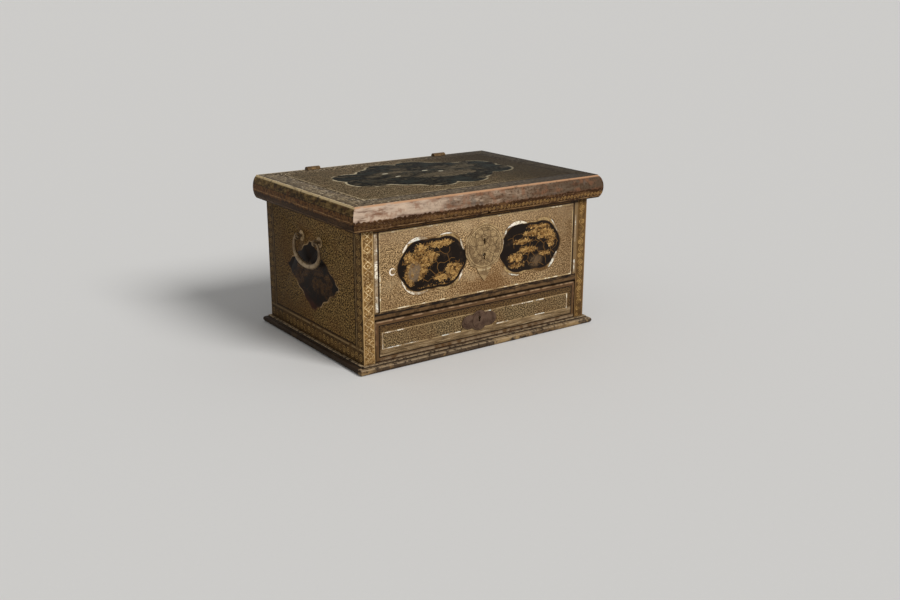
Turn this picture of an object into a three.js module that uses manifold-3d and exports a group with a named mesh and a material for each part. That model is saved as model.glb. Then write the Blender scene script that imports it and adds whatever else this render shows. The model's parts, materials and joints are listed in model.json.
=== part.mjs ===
// Lacquer chest with a hinged moulded lid, one drawer and a bail handle on each side.
// Millimetres, +Z up. The front faces -Y, +X is to the right seen from the front.
// The origin is the middle of the footprint, on the surface that the chest stands on.

import * as THREE from 'three';
import { mergeVertices } from 'three/addons/utils/BufferGeometryUtils.js';
import Module from 'manifold-3d';

const wasm = await Module();
wasm.setup();

// Carcase
const BODY_WIDTH = 450;
const BODY_DEPTH = 318;
const BASE_THICKNESS = 13;
const DRAWER_OPENING_HEIGHT = 68;
const FLOOR_THICKNESS = 11;
const CHEST_HEIGHT = 132.5;
const SIDE_THICKNESS = 20;
const FRONT_THICKNESS = 18;
const BACK_THICKNESS = 15;
const HOUSING_DEPTH = 6;
const BACK_REBATE = 10;

// Clearances
const SEAT = 0.2;
const MITRE_GAP = 0.15;
const LID_GAP = 0.3;
const SLIDING_GAP = 0.3;
const TURNING_GAP = 0.3;

// How far a cutting tool runs past the face that it opens
const OVERCUT = 1;

// Lid: a mitred frame of rails round a panel, with a full round nose in front and at the sides
const LID_HEIGHT = 39.2;
const LID_SIDE_OVERHANG = 15.5;
const LID_FRONT_OVERHANG = 9.5;
const LID_BACK_OVERHANG = 3;
const LID_ARRIS_DROP = 1.2;
const LID_NOSE_HALF_DEPTH = 10.1;
const LID_NOSE_HALF_HEIGHT = 20.5;
const LID_NOSE_CENTRE_HEIGHT = 18.5;
const LID_FRAME_TOP_WIDTH = 34;
const LID_PANEL_THICKNESS = 16;
const LID_LEDGE = 8;
const HASP_NOTCH_WIDTH = 7;
const HASP_NOTCH_HEIGHT = 4.5;

// Plinth, a little lower than the base board so that the drawer slides out over it
const PLINTH_STEP = 0.5;
const PLINTH_FILLET_OVERHANG = 4.8;
const PLINTH_FILLET_HEIGHT = 1.5;
const PLINTH_NOSE_RADIUS = 4.9;
const PLINTH_NOSE_OVERHANG = 12;
const PLINTH_NOSE_END_ANGLE = 60;
const PLINTH_COVE_RISE = 1;

// Drawer
const DRAWER_FRONT_THICKNESS = 16;
const DRAWER_FRONT_GAP_TOP = 2.4;
const DRAWER_FRONT_GAP_SIDE = 0.9;
const DRAWER_FRONT_BEVEL = 2.4;
const DRAWER_SIDE_THICKNESS = 9;
const DRAWER_SIDE_HEIGHT = 54;
const DRAWER_BACK_THICKNESS = 9;
const DRAWER_BOTTOM_THICKNESS = 6;
const DRAWER_BOTTOM_LIFT = 3;
const DRAWER_GROOVE_DEPTH = 4;
const DRAWER_LAP = 10;
const DRAWER_STOP_DEPTH = 14;
const DRAWER_STOP_HEIGHT = 18;
const DRAWER_STOP_WIDTH = 36;
const DRAWER_STOP_INSET = 40;
const DRAWER_FINGERS = 3;

// Chest lock, a little right of the middle as on the old chest
const CHEST_LOCK_X = 4;
const CHEST_KEYHOLE_RISE = 63.6;
const CHEST_KEYHOLE_RADIUS = 3;
const CHEST_KEYHOLE_DROP = 8;
const CHEST_KEYHOLE_SLOT = 2.8;
const HASP_SLOT_RISE = 22.4;
const HASP_SLOT_LENGTH = 9.6;
const HASP_SLOT_WIDTH = 3.6;
const CHEST_PLATE_THICKNESS = 1.4;
const CHEST_PLATE_RADIUS = 37;
const CHEST_PLATE_CENTRE_RISE = 14.1;
const CHEST_PLATE_LOBES = 9;
const CHEST_PLATE_LOBE_BULGE = 5;
const CHEST_PLATE_TIP_DROP = 57.7;
const CHEST_PLATE_TIP_ANGLE = 50;
const CHEST_PLATE_TIP_WAIST = 10;
const CHEST_PLATE_WAIST_DROP = 47;
const CHEST_CASE_WIDTH = 66;
const CHEST_CASE_DEPTH = 12.6;
const CHEST_CASE_BELOW_KEYHOLE = 14.6;
const CHEST_CASE_ABOVE_SLOT = 15;
const CHEST_BOLT_LENGTH = 24;
const CHEST_BOLT_HEIGHT = 8;
const CHEST_BOLT_TIP_CLEARANCE = 2.4;
const CHEST_BOLT_LEG_WIDTH = 14;
const CHEST_BOLT_NOTCH_RADIUS = 3;

// Drawer lock, a little left of the middle
const DRAWER_LOCK_X = -5;
const DRAWER_KEYHOLE_RISE = 37.6;
const DRAWER_KEYHOLE_RADIUS = 2.4;
const DRAWER_KEYHOLE_DROP = 6.6;
const DRAWER_KEYHOLE_SLOT = 2.2;
const DRAWER_PLATE_DROP = 4.6;
const DRAWER_PLATE_DISC_RADIUS = 17;
const DRAWER_PLATE_WING_REACH = 35;
const DRAWER_PLATE_WING_HEIGHT = 12;
const DRAWER_PLATE_WING_WIDTH = 15;
const DRAWER_PLATE_THICKNESS = 1.2;
const DRAWER_PLATE_BOSS = 1;
const DRAWER_PLATE_RIM = 3;
const DRAWER_CASE_WIDTH = 50;
const DRAWER_CASE_DEPTH = 10.6;
const DRAWER_CASE_BELOW_KEYHOLE = 16.6;
const DRAWER_CASE_BELOW_TOP = 6.6;
const DRAWER_BOLT_WIDTH = 10;
const DRAWER_BOLT_BELOW_TOP = 0.5;
const DRAWER_BOLT_FOOT_HEIGHT = 5;
const DRAWER_BOLT_FOOT_REACH = 9;
const MORTISE_DEPTH = 6.6;
const MORTISE_MARGIN = 1;

// Both locks
const LOCK_HOLE_REACH = 4;
const LOCK_WALL = 1.2;
const BOLT_ABOVE_KEYHOLE = 3;
const BOLT_THICKNESS = 4;
const BOLT_SLOT_GAP = 0.4;
const SPRING_THICKNESS = 0.8;
const SPRING_END_MARGIN = 3;
const DRAWER_SPRING_FALL = 4.5;
const KEY_PIN_RADIUS = 1.1;
const KEY_PIN_FOOT_RADIUS = 2.4;
const KEY_PIN_FOOT_HEIGHT = 1.5;
const KEY_PIN_INSET = 1;

// Hinges
const HINGE_INSET = 91;
const HINGE_WIDTH = 25;
const HINGE_LEAF_THICKNESS = 1.6;
const HINGE_BARREL_RADIUS = 3.6;
const HINGE_PIN_RADIUS = 1.5;
const HINGE_LID_KNUCKLE = 8.4;
const HINGE_BODY_LEAF_LENGTH = 46;
const HINGE_STRAP_RISE = 5.2;
const HINGE_STRAP_REACH = 12;
const HINGE_TIP_SLOPE = 0.33;
const HINGE_TIP_NECK = 0.25;

// Bail handles
const EYE_SPACING = 60;
const EYE_BELOW_LID = 42.5;
const EYE_STAND_OFF = 9;
const EYE_RADIUS = 4.6;
const EYE_WIRE_RADIUS = 1.5;
const SHANK_RADIUS = 1.9;
const CLENCH_LENGTH = 9;
const CLENCH_THICKNESS = 1.4;
const CLENCH_WIDTH = 2.6;
const ROSETTE_RADIUS = 9.5;
const ROSETTE_PETALS = 8;
const ROSETTE_THICKNESS = 1.4;
const ROSETTE_WAIST = 0.86;
const ROSETTE_BULGE = 1.2;
const BAIL_MID_RADIUS = 4.2;
const BAIL_END_RADIUS = 2;
const BAIL_HALF_WIDTH = 43.2;
const BAIL_DROP = 42.8;
const BAIL_END_LENGTH = 9;
const BAIL_SHOULDER_DROP = 17;
const BAIL_ARC_STEPS = 4;
const BAIL_TUBE_STEPS = 44;
const BAIL_TAPER_START = 0.12;
const BAIL_TAPER_END = 0.75;

// Heights and planes that follow from the sizes above
const HALF_WIDTH = BODY_WIDTH / 2;
const HALF_DEPTH = BODY_DEPTH / 2;
const FRONT_Y = -HALF_DEPTH;
const BACK_Y = HALF_DEPTH;
const INNER_X = HALF_WIDTH - SIDE_THICKNESS;
const INNER_BACK_Y = BACK_Y - BACK_THICKNESS;
const FLOOR_BOTTOM = BASE_THICKNESS + DRAWER_OPENING_HEIGHT;
const FLOOR_TOP = FLOOR_BOTTOM + FLOOR_THICKNESS;
const CARCASE_TOP = FLOOR_TOP + CHEST_HEIGHT;
const LID_BOTTOM = CARCASE_TOP + LID_GAP;
const LID_TOP = LID_BOTTOM + LID_HEIGHT;
const LID_HALF_WIDTH = HALF_WIDTH + LID_SIDE_OVERHANG;
const LID_FRONT_Y = FRONT_Y - LID_FRONT_OVERHANG;
const LID_BACK_Y = BACK_Y + LID_BACK_OVERHANG;
const LID_CENTRE_Y = (LID_FRONT_Y + LID_BACK_Y) / 2;
const PLINTH_HEIGHT = BASE_THICKNESS - PLINTH_STEP;
const CHEST_KEYHOLE_HEIGHT = FLOOR_TOP + CHEST_KEYHOLE_RISE;
const HASP_SLOT_HEIGHT = CHEST_KEYHOLE_HEIGHT + HASP_SLOT_RISE;
const CHEST_CASE_BOTTOM = CHEST_KEYHOLE_HEIGHT - CHEST_CASE_BELOW_KEYHOLE;
const CHEST_CASE_TOP = HASP_SLOT_HEIGHT + CHEST_CASE_ABOVE_SLOT;
const DRAWER_KEYHOLE_HEIGHT = BASE_THICKNESS + DRAWER_KEYHOLE_RISE;
const EYE_HEIGHT = CARCASE_TOP - EYE_BELOW_LID;
const HINGE_X = HALF_WIDTH - HINGE_INSET;
const HINGE_AXIS_Y = BACK_Y + SEAT + HINGE_BARREL_RADIUS;
const HINGE_AXIS_Z = CARCASE_TOP + LID_GAP / 2;
const BAIL_PIVOT_DROP = EYE_RADIUS - EYE_WIRE_RADIUS - BAIL_END_RADIUS - TURNING_GAP;

// Materials
const finish = (color, roughness, metalness) => new THREE.MeshStandardMaterial({ color, roughness, metalness });
const speckledLacquer = finish(0x7a6238, 0.45, 0.15);
const goldBorderLacquer = finish(0x8f6a2e, 0.45, 0.2);
const blackLacquer = finish(0x17130f, 0.35, 0);
const wornLidLacquer = finish(0x5b4638, 0.5, 0.05);
const plinthLacquer = finish(0x4a3a28, 0.55, 0.05);
const innerLacquer = finish(0x2a1c14, 0.4, 0);
const gildedPlate = finish(0x9a8256, 0.45, 0.8);
const darkIron = finish(0x40342c, 0.6, 0.7);
const handleMetal = finish(0x6d6152, 0.45, 0.85);
const lockIron = finish(0x55504a, 0.6, 0.8);

const chest = new THREE.Group();

function addPiece(name, geometry, material) {
  const mesh = new THREE.Mesh(geometry, material);
  mesh.name = name;
  chest.add(mesh);
  return mesh;
}

// Solids, cuts and joins

function toSolid(geometry) {
  const bare = geometry.clone();
  bare.deleteAttribute('normal');
  bare.deleteAttribute('uv');
  const merged = mergeVertices(bare, 1e-4);
  return new wasm.Manifold(new wasm.Mesh({
    numProp: 3,
    vertProperties: new Float32Array(merged.attributes.position.array),
    triVerts: new Uint32Array(merged.index.array),
  }));
}

function toGeometry(solid) {
  const mesh = solid.getMesh();
  const geometry = new THREE.BufferGeometry();
  geometry.setAttribute('position', new THREE.BufferAttribute(mesh.vertProperties, 3));
  geometry.setIndex(new THREE.BufferAttribute(mesh.triVerts, 1));
  geometry.computeVertexNormals();
  return geometry;
}

function cut(geometry, ...tools) {
  const body = tools.reduce((solid, tool) => solid.subtract(toSolid(tool)), toSolid(geometry));
  return toGeometry(body);
}

function join(geometry, ...others) {
  const body = others.reduce((solid, other) => solid.add(toSolid(other)), toSolid(geometry));
  return toGeometry(body);
}

// A box from its lowest to its highest corner.
function block(x0, x1, y0, y1, z0, z1) {
  const box = new THREE.BoxGeometry(x1 - x0, y1 - y0, z1 - z0);
  return box.translate((x0 + x1) / 2, (y0 + y1) / 2, (z0 + z1) / 2);
}

// An outline in X and Z, thick along Y from yLow to yHigh.
function extrudeAlongY(shape, yLow, yHigh, curveSegments = 6) {
  const slab = new THREE.ExtrudeGeometry(shape, { depth: yHigh - yLow, bevelEnabled: false, curveSegments });
  return slab.rotateX(Math.PI / 2).translate(0, yHigh, 0);
}

// An outline in Y and Z, thick along X from xLow to xHigh.
function extrudeAlongX(shape, xLow, xHigh, curveSegments = 6) {
  const slab = new THREE.ExtrudeGeometry(shape, { depth: xHigh - xLow, bevelEnabled: false, curveSegments });
  return slab.rotateX(Math.PI / 2).rotateZ(Math.PI / 2).translate(xLow, 0, 0);
}

// A cylinder along X, Y or Z between two places on that axis.
function rod(axis, radius, from, to, centre, segments = 16) {
  const cylinder = new THREE.CylinderGeometry(radius, radius, to - from, segments);
  const middle = (from + to) / 2;
  if (axis === 'x') {
    return cylinder.rotateZ(Math.PI / 2).translate(middle, centre[0], centre[1]);
  }
  if (axis === 'z') {
    return cylinder.rotateX(Math.PI / 2).translate(centre[0], centre[1], middle);
  }
  return cylinder.translate(centre[0], middle, centre[1]);
}

// A moulding whose section is drawn as overhang and height. Each end is cut at 45 degrees,
// so four of them meet in mitres round a rectangle. It faces +X before the turn.
function mitredRail(section, halfLength, faceDistance, bottom, turn) {
  const rail = new THREE.ExtrudeGeometry(section, { depth: 1, bevelEnabled: false, curveSegments: 7 });
  const points = rail.attributes.position;
  for (let i = 0; i < points.count; i += 1) {
    const end = points.getZ(i) > 0.5 ? 1 : -1;
    points.setZ(i, end * (halfLength + points.getX(i) - MITRE_GAP));
  }
  return rail.rotateX(Math.PI / 2).translate(faceDistance, 0, bottom).rotateZ(turn);
}

// The four rails round a rectangle, named by side, in the order right, back, left, front.
function mitredFrame(section, bottom, halfWidth, halfDepth) {
  const sides = ['right', 'back', 'left', 'front'];
  const rails = {};
  sides.forEach((side, quarter) => {
    const acrossWidth = quarter % 2 === 0;
    const faceDistance = acrossWidth ? halfWidth : halfDepth;
    const halfLength = acrossWidth ? halfDepth : halfWidth;
    rails[side] = mitredRail(section, halfLength, faceDistance, bottom, quarter * Math.PI / 2);
  });
  return rails;
}

// A keyhole: a round hole with a straight slot below it, cut along Y.
function keyhole(x, height, radius, drop, slot, yLow, yHigh) {
  const round = rod('y', radius, yLow, yHigh, [x, height]);
  return join(round, block(x - slot / 2, x + slot / 2, yLow, yHigh, height - drop, height));
}

// Carcase

function sideBoard(side) {
  const outer = block(INNER_X, HALF_WIDTH, FRONT_Y, BACK_Y, 0, CARCASE_TOP);
  const housingX = INNER_X + HOUSING_DEPTH;
  const housingY = FRONT_Y + FRONT_THICKNESS;
  const board = cut(
    outer,
    block(INNER_X - OVERCUT, housingX, housingY, BACK_Y + OVERCUT, FLOOR_BOTTOM - SEAT, FLOOR_TOP + SEAT),
    block(INNER_X - OVERCUT, housingX, housingY, BACK_Y + OVERCUT, -OVERCUT, BASE_THICKNESS + SEAT),
    block(INNER_X - OVERCUT, INNER_X + BACK_REBATE, INNER_BACK_Y, BACK_Y + OVERCUT,
      -OVERCUT, CARCASE_TOP + OVERCUT),
    rod('x', SHANK_RADIUS + SEAT, INNER_X - OVERCUT, HALF_WIDTH + OVERCUT, [-EYE_SPACING / 2, EYE_HEIGHT]),
    rod('x', SHANK_RADIUS + SEAT, INNER_X - OVERCUT, HALF_WIDTH + OVERCUT, [EYE_SPACING / 2, EYE_HEIGHT]),
  );
  return side === 'right' ? board : mirroredInX(board);
}

// The same piece on the other side: its triangles are turned round again, so that they face out.
function mirroredInX(geometry) {
  const copy = toGeometry(toSolid(geometry)).scale(-1, 1, 1);
  const order = copy.index.array;
  for (let i = 0; i < order.length; i += 3) {
    [order[i], order[i + 1]] = [order[i + 1], order[i]];
  }
  copy.computeVertexNormals();
  return copy;
}

// A board let into both side boards, with its front stretch narrower so that the posts hide the housing.
function housedBoard(bottom, top) {
  const wide = INNER_X + HOUSING_DEPTH - SEAT;
  const narrow = INNER_X - SEAT;
  const housingY = FRONT_Y + FRONT_THICKNESS + SEAT;
  return join(
    block(-narrow, narrow, FRONT_Y, INNER_BACK_Y - SEAT, bottom, top),
    block(-wide, wide, housingY, INNER_BACK_Y - SEAT, bottom, top),
  );
}

function chestFloor() {
  const mortiseX = DRAWER_BOLT_WIDTH / 2 + MORTISE_MARGIN;
  const [boltFrontY, boltBackY] = drawerBoltDepth();
  return cut(
    housedBoard(FLOOR_BOTTOM, FLOOR_TOP),
    block(DRAWER_LOCK_X - mortiseX, DRAWER_LOCK_X + mortiseX, boltFrontY - MORTISE_MARGIN,
      boltBackY + MORTISE_MARGIN, FLOOR_BOTTOM - OVERCUT, FLOOR_BOTTOM + MORTISE_DEPTH),
  );
}

function frontBoard() {
  const x = INNER_X - SEAT;
  const slab = block(-x, x, FRONT_Y, FRONT_Y + FRONT_THICKNESS, FLOOR_TOP + SEAT, CARCASE_TOP);
  const pocketX = CHEST_CASE_WIDTH / 2 + SEAT;
  const innerY = FRONT_Y + FRONT_THICKNESS;
  return cut(
    slab,
    block(CHEST_LOCK_X - pocketX, CHEST_LOCK_X + pocketX, innerY - CHEST_CASE_DEPTH - SEAT, innerY + OVERCUT,
      CHEST_CASE_BOTTOM - SEAT, CHEST_CASE_TOP + SEAT),
    chestKeyhole(),
    haspSlot(),
  );
}

function chestKeyhole() {
  return keyhole(CHEST_LOCK_X, CHEST_KEYHOLE_HEIGHT, CHEST_KEYHOLE_RADIUS, CHEST_KEYHOLE_DROP,
    CHEST_KEYHOLE_SLOT, FRONT_Y - LOCK_HOLE_REACH, FRONT_Y + FRONT_THICKNESS - CHEST_CASE_DEPTH + OVERCUT);
}

function haspSlot() {
  return block(CHEST_LOCK_X - HASP_SLOT_WIDTH / 2, CHEST_LOCK_X + HASP_SLOT_WIDTH / 2,
    FRONT_Y - LOCK_HOLE_REACH, FRONT_Y + FRONT_THICKNESS - CHEST_CASE_DEPTH + OVERCUT,
    HASP_SLOT_HEIGHT - HASP_SLOT_LENGTH / 2, HASP_SLOT_HEIGHT + HASP_SLOT_LENGTH / 2);
}

function backBoard() {
  const x = INNER_X + BACK_REBATE - SEAT;
  return block(-x, x, INNER_BACK_Y + SEAT, BACK_Y, 0, CARCASE_TOP);
}

// Plinth section: a small fillet over a rounded nose.
function plinthSection() {
  const noseCentre = PLINTH_NOSE_OVERHANG - PLINTH_NOSE_RADIUS;
  const noseHeight = PLINTH_NOSE_RADIUS;
  const noseEnd = THREE.MathUtils.degToRad(PLINTH_NOSE_END_ANGLE);
  const filletBottom = PLINTH_HEIGHT - PLINTH_FILLET_HEIGHT;
  const coveHeight = (noseHeight + filletBottom) / 2 + PLINTH_COVE_RISE;
  const section = new THREE.Shape();
  section.moveTo(SEAT, 0);
  section.lineTo(noseCentre, 0);
  section.absarc(noseCentre, noseHeight, PLINTH_NOSE_RADIUS, -Math.PI / 2, noseEnd, false);
  section.quadraticCurveTo(PLINTH_FILLET_OVERHANG, coveHeight, PLINTH_FILLET_OVERHANG,
    filletBottom);
  section.lineTo(PLINTH_FILLET_OVERHANG, PLINTH_HEIGHT);
  section.lineTo(SEAT, PLINTH_HEIGHT);
  section.closePath();
  return section;
}

// Lid section: arris and a round nose that is nearly as high as the lid, with the panel's rebate on the
// inside. It is drawn from the arris outwards.
function lidSection() {
  const inner = -LID_FRAME_TOP_WIDTH;
  const ledge = LID_HEIGHT - LID_PANEL_THICKNESS - SEAT;
  const noseTop = Math.asin((LID_HEIGHT - LID_ARRIS_DROP - LID_NOSE_CENTRE_HEIGHT) / LID_NOSE_HALF_HEIGHT);
  const noseBottom = -Math.asin(LID_NOSE_CENTRE_HEIGHT / LID_NOSE_HALF_HEIGHT);
  const section = new THREE.Shape();
  section.moveTo(inner - LID_LEDGE, ledge);
  section.lineTo(inner - LID_LEDGE, 0);
  section.absellipse(-LID_NOSE_HALF_DEPTH * Math.cos(noseTop), LID_NOSE_CENTRE_HEIGHT, LID_NOSE_HALF_DEPTH,
    LID_NOSE_HALF_HEIGHT, noseBottom, noseTop, false, 0);
  section.lineTo(0, LID_HEIGHT);
  section.lineTo(inner, LID_HEIGHT);
  section.lineTo(inner, ledge);
  section.closePath();
  return section;
}

// The frame's arris is set out on its own rectangle, and its back is cut flat there.
function lidFrame() {
  const rails = mitredFrame(lidSection(), LID_BOTTOM, LID_HALF_WIDTH, (LID_BACK_Y - LID_FRONT_Y) / 2);
  const noseEnd = LID_HALF_WIDTH + LID_NOSE_HALF_DEPTH;
  const beyondBack = block(-noseEnd, noseEnd, LID_BACK_Y, LID_BACK_Y + LID_NOSE_HALF_DEPTH,
    LID_BOTTOM - OVERCUT, LID_TOP + OVERCUT);
  for (const [side, rail] of Object.entries(rails)) {
    rail.translate(0, LID_CENTRE_Y, 0);
    rails[side] = side === 'front' ? rail : cut(rail, beyondBack);
  }
  const notchHalf = HINGE_WIDTH / 2 + SLIDING_GAP;
  const notchTop = HINGE_AXIS_Z + HINGE_BARREL_RADIUS + TURNING_GAP;
  const hingeNotch = (x) => block(
    x - notchHalf, x + notchHalf, BACK_Y, LID_BACK_Y + OVERCUT, LID_BOTTOM - OVERCUT, notchTop,
  );
  rails.back = cut(rails.back, hingeNotch(-HINGE_X), hingeNotch(HINGE_X));
  rails.front = cut(
    rails.front,
    block(CHEST_LOCK_X - HASP_NOTCH_WIDTH / 2, CHEST_LOCK_X + HASP_NOTCH_WIDTH / 2,
      LID_FRONT_Y - LID_NOSE_HALF_DEPTH, FRONT_Y - OVERCUT, LID_BOTTOM - OVERCUT,
      LID_BOTTOM + HASP_NOTCH_HEIGHT),
  );
  return rails;
}

function lidPanel() {
  const inset = LID_FRAME_TOP_WIDTH + SEAT;
  const x = LID_HALF_WIDTH - inset;
  return block(-x, x, LID_FRONT_Y + inset, LID_BACK_Y - inset, LID_TOP - LID_PANEL_THICKNESS, LID_TOP);
}

// Drawer

const DRAWER_BOTTOM_Z = BASE_THICKNESS + SLIDING_GAP;
const DRAWER_FRONT_TOP = FLOOR_BOTTOM - DRAWER_FRONT_GAP_TOP;
const DRAWER_FRONT_INNER_Y = FRONT_Y + DRAWER_FRONT_THICKNESS;
const DRAWER_OUTER_X = INNER_X - DRAWER_FRONT_GAP_SIDE;
const DRAWER_BACK_Y = INNER_BACK_Y - SEAT - DRAWER_STOP_DEPTH - SLIDING_GAP;
const DRAWER_SIDE_TOP = DRAWER_BOTTOM_Z + DRAWER_SIDE_HEIGHT;
const DRAWER_CASE_BOTTOM = DRAWER_KEYHOLE_HEIGHT - DRAWER_CASE_BELOW_KEYHOLE;
const DRAWER_CASE_TOP = DRAWER_FRONT_TOP - DRAWER_CASE_BELOW_TOP;

// Front and back of the drawer lock's bolt.
function drawerBoltDepth() {
  const back = FRONT_Y + DRAWER_FRONT_THICKNESS - LOCK_WALL - SLIDING_GAP;
  return [back - BOLT_THICKNESS, back];
}

function drawerFront() {
  const x = DRAWER_OUTER_X;
  const middleY = FRONT_Y + DRAWER_FRONT_THICKNESS / 2;
  const face = new THREE.Shape();
  const faceX = x - DRAWER_FRONT_BEVEL;
  face.moveTo(-faceX, DRAWER_BOTTOM_Z + DRAWER_FRONT_BEVEL);
  face.lineTo(faceX, DRAWER_BOTTOM_Z + DRAWER_FRONT_BEVEL);
  face.lineTo(faceX, DRAWER_FRONT_TOP - DRAWER_FRONT_BEVEL);
  face.lineTo(-faceX, DRAWER_FRONT_TOP - DRAWER_FRONT_BEVEL);
  face.closePath();
  const roundedFace = new THREE.ExtrudeGeometry(face, {
    depth: DRAWER_FRONT_THICKNESS / 2,
    bevelSize: DRAWER_FRONT_BEVEL,
    bevelThickness: DRAWER_FRONT_BEVEL,
    bevelSegments: 3,
  });
  roundedFace.rotateX(Math.PI / 2).translate(0, middleY + DRAWER_FRONT_BEVEL, 0);
  const slab = block(-x, x, middleY - DRAWER_FRONT_BEVEL, DRAWER_FRONT_INNER_Y,
    DRAWER_BOTTOM_Z, DRAWER_FRONT_TOP);
  const pocketX = DRAWER_CASE_WIDTH / 2 + SEAT;
  const [boltFrontY, boltBackY] = drawerBoltDepth();
  const boltX = DRAWER_BOLT_WIDTH / 2 + BOLT_SLOT_GAP;
  return cut(
    join(slab, roundedFace),
    sideLap(1),
    sideLap(-1),
    bottomGroove(),
    block(DRAWER_LOCK_X - pocketX, DRAWER_LOCK_X + pocketX,
      DRAWER_FRONT_INNER_Y - DRAWER_CASE_DEPTH - SEAT, DRAWER_FRONT_INNER_Y + OVERCUT,
      DRAWER_CASE_BOTTOM - SEAT, DRAWER_CASE_TOP + SEAT),
    block(DRAWER_LOCK_X - boltX, DRAWER_LOCK_X + boltX, boltFrontY - BOLT_SLOT_GAP, boltBackY + BOLT_SLOT_GAP,
      DRAWER_CASE_TOP, DRAWER_FRONT_TOP + OVERCUT),
    keyhole(DRAWER_LOCK_X, DRAWER_KEYHOLE_HEIGHT, DRAWER_KEYHOLE_RADIUS, DRAWER_KEYHOLE_DROP,
      DRAWER_KEYHOLE_SLOT, FRONT_Y - LOCK_HOLE_REACH, DRAWER_FRONT_INNER_Y - DRAWER_CASE_DEPTH + OVERCUT),
  );
}

// The lap that a drawer side is glued into, behind the drawer front's end.
function sideLap(hand) {
  const outer = hand * (DRAWER_OUTER_X + OVERCUT);
  const inner = hand * (DRAWER_OUTER_X - DRAWER_SIDE_THICKNESS - SEAT);
  return block(Math.min(outer, inner), Math.max(outer, inner), DRAWER_FRONT_INNER_Y - DRAWER_LAP,
    DRAWER_FRONT_INNER_Y + OVERCUT, DRAWER_BOTTOM_Z - OVERCUT, DRAWER_SIDE_TOP + SEAT);
}

// The space of the drawer bottom with clearance, which cuts its groove in the front and the sides.
function bottomGroove() {
  const [x, y0, y1, z0, z1] = drawerBottomSize();
  return block(-x - SEAT, x + SEAT, y0 - SEAT, y1 + SEAT, z0 - SEAT, z1 + SEAT);
}

function drawerBottomSize() {
  const x = DRAWER_OUTER_X - DRAWER_SIDE_THICKNESS + DRAWER_GROOVE_DEPTH;
  const front = DRAWER_FRONT_INNER_Y - DRAWER_GROOVE_DEPTH;
  const bottom = DRAWER_BOTTOM_Z + DRAWER_BOTTOM_LIFT;
  return [x, front, DRAWER_BACK_Y, bottom, bottom + DRAWER_BOTTOM_THICKNESS];
}

// Heights where the fingers of a drawer side and the drawer back meet, from the bottom up.
function fingerBands(parity) {
  const [, , , , grooveTop] = drawerBottomSize();
  const start = grooveTop + SEAT;
  const step = (DRAWER_SIDE_TOP - start) / (2 * DRAWER_FINGERS - 1);
  const bands = [];
  for (let i = 0; i < 2 * DRAWER_FINGERS - 1; i += 1) {
    if (i % 2 === parity) {
      bands.push([start + i * step, start + (i + 1) * step]);
    }
  }
  return bands;
}

function drawerSide(hand) {
  const outer = hand * DRAWER_OUTER_X;
  const inner = hand * (DRAWER_OUTER_X - DRAWER_SIDE_THICKNESS);
  const x0 = Math.min(outer, inner);
  const x1 = Math.max(outer, inner);
  const board = block(x0, x1, DRAWER_FRONT_INNER_Y - DRAWER_LAP + SEAT, DRAWER_BACK_Y, DRAWER_BOTTOM_Z,
    DRAWER_SIDE_TOP);
  const sockets = fingerBands(1).map(([z0, z1]) => block(
    x0 - OVERCUT, x1 + OVERCUT, DRAWER_BACK_Y - DRAWER_BACK_THICKNESS - SEAT, DRAWER_BACK_Y + OVERCUT,
    z0 - SEAT, z1 + SEAT,
  ));
  return cut(board, bottomGroove(), ...sockets);
}

function drawerBack() {
  const [, , , , grooveTop] = drawerBottomSize();
  const x = DRAWER_OUTER_X - DRAWER_SIDE_THICKNESS - SEAT;
  const y0 = DRAWER_BACK_Y - DRAWER_BACK_THICKNESS;
  const board = block(-x, x, y0, DRAWER_BACK_Y, grooveTop + SEAT, DRAWER_SIDE_TOP);
  const fingers = fingerBands(1).map(([z0, z1]) => block(
    -DRAWER_OUTER_X, DRAWER_OUTER_X, y0, DRAWER_BACK_Y, z0, z1,
  ));
  return join(board, ...fingers);
}

function drawerBottom() {
  const [x, y0, y1, z0, z1] = drawerBottomSize();
  return block(-x, x, y0, y1, z0, z1);
}

function drawerStop(hand) {
  const centre = hand * (INNER_X - DRAWER_STOP_INSET);
  const y1 = INNER_BACK_Y - SEAT;
  const z0 = BASE_THICKNESS + SEAT;
  return block(centre - DRAWER_STOP_WIDTH / 2, centre + DRAWER_STOP_WIDTH / 2, y1 - DRAWER_STOP_DEPTH, y1,
    z0, z0 + DRAWER_STOP_HEIGHT);
}

// Locks

// The chest lock plate: equal lobes round a disc, and a pointed tip at the bottom.
function chestPlateOutline() {
  const tipHalfAngle = THREE.MathUtils.degToRad(CHEST_PLATE_TIP_ANGLE) / 2;
  const start = tipHalfAngle - Math.PI / 2;
  const step = 2 * (Math.PI - tipHalfAngle) / CHEST_PLATE_LOBES;
  const cusp = CHEST_PLATE_RADIUS;
  const bulge = CHEST_PLATE_RADIUS + CHEST_PLATE_LOBE_BULGE;
  const outline = new THREE.Shape();
  outline.moveTo(0, -CHEST_PLATE_TIP_DROP);
  outline.quadraticCurveTo(CHEST_PLATE_TIP_WAIST, -CHEST_PLATE_WAIST_DROP, cusp * Math.cos(start),
    cusp * Math.sin(start));
  for (let i = 1; i <= CHEST_PLATE_LOBES; i += 1) {
    const end = start + i * step;
    const middle = end - step / 2;
    outline.quadraticCurveTo(bulge * Math.cos(middle), bulge * Math.sin(middle), cusp * Math.cos(end),
      cusp * Math.sin(end));
  }
  outline.quadraticCurveTo(-CHEST_PLATE_TIP_WAIST, -CHEST_PLATE_WAIST_DROP, 0, -CHEST_PLATE_TIP_DROP);
  return outline;
}

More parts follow.
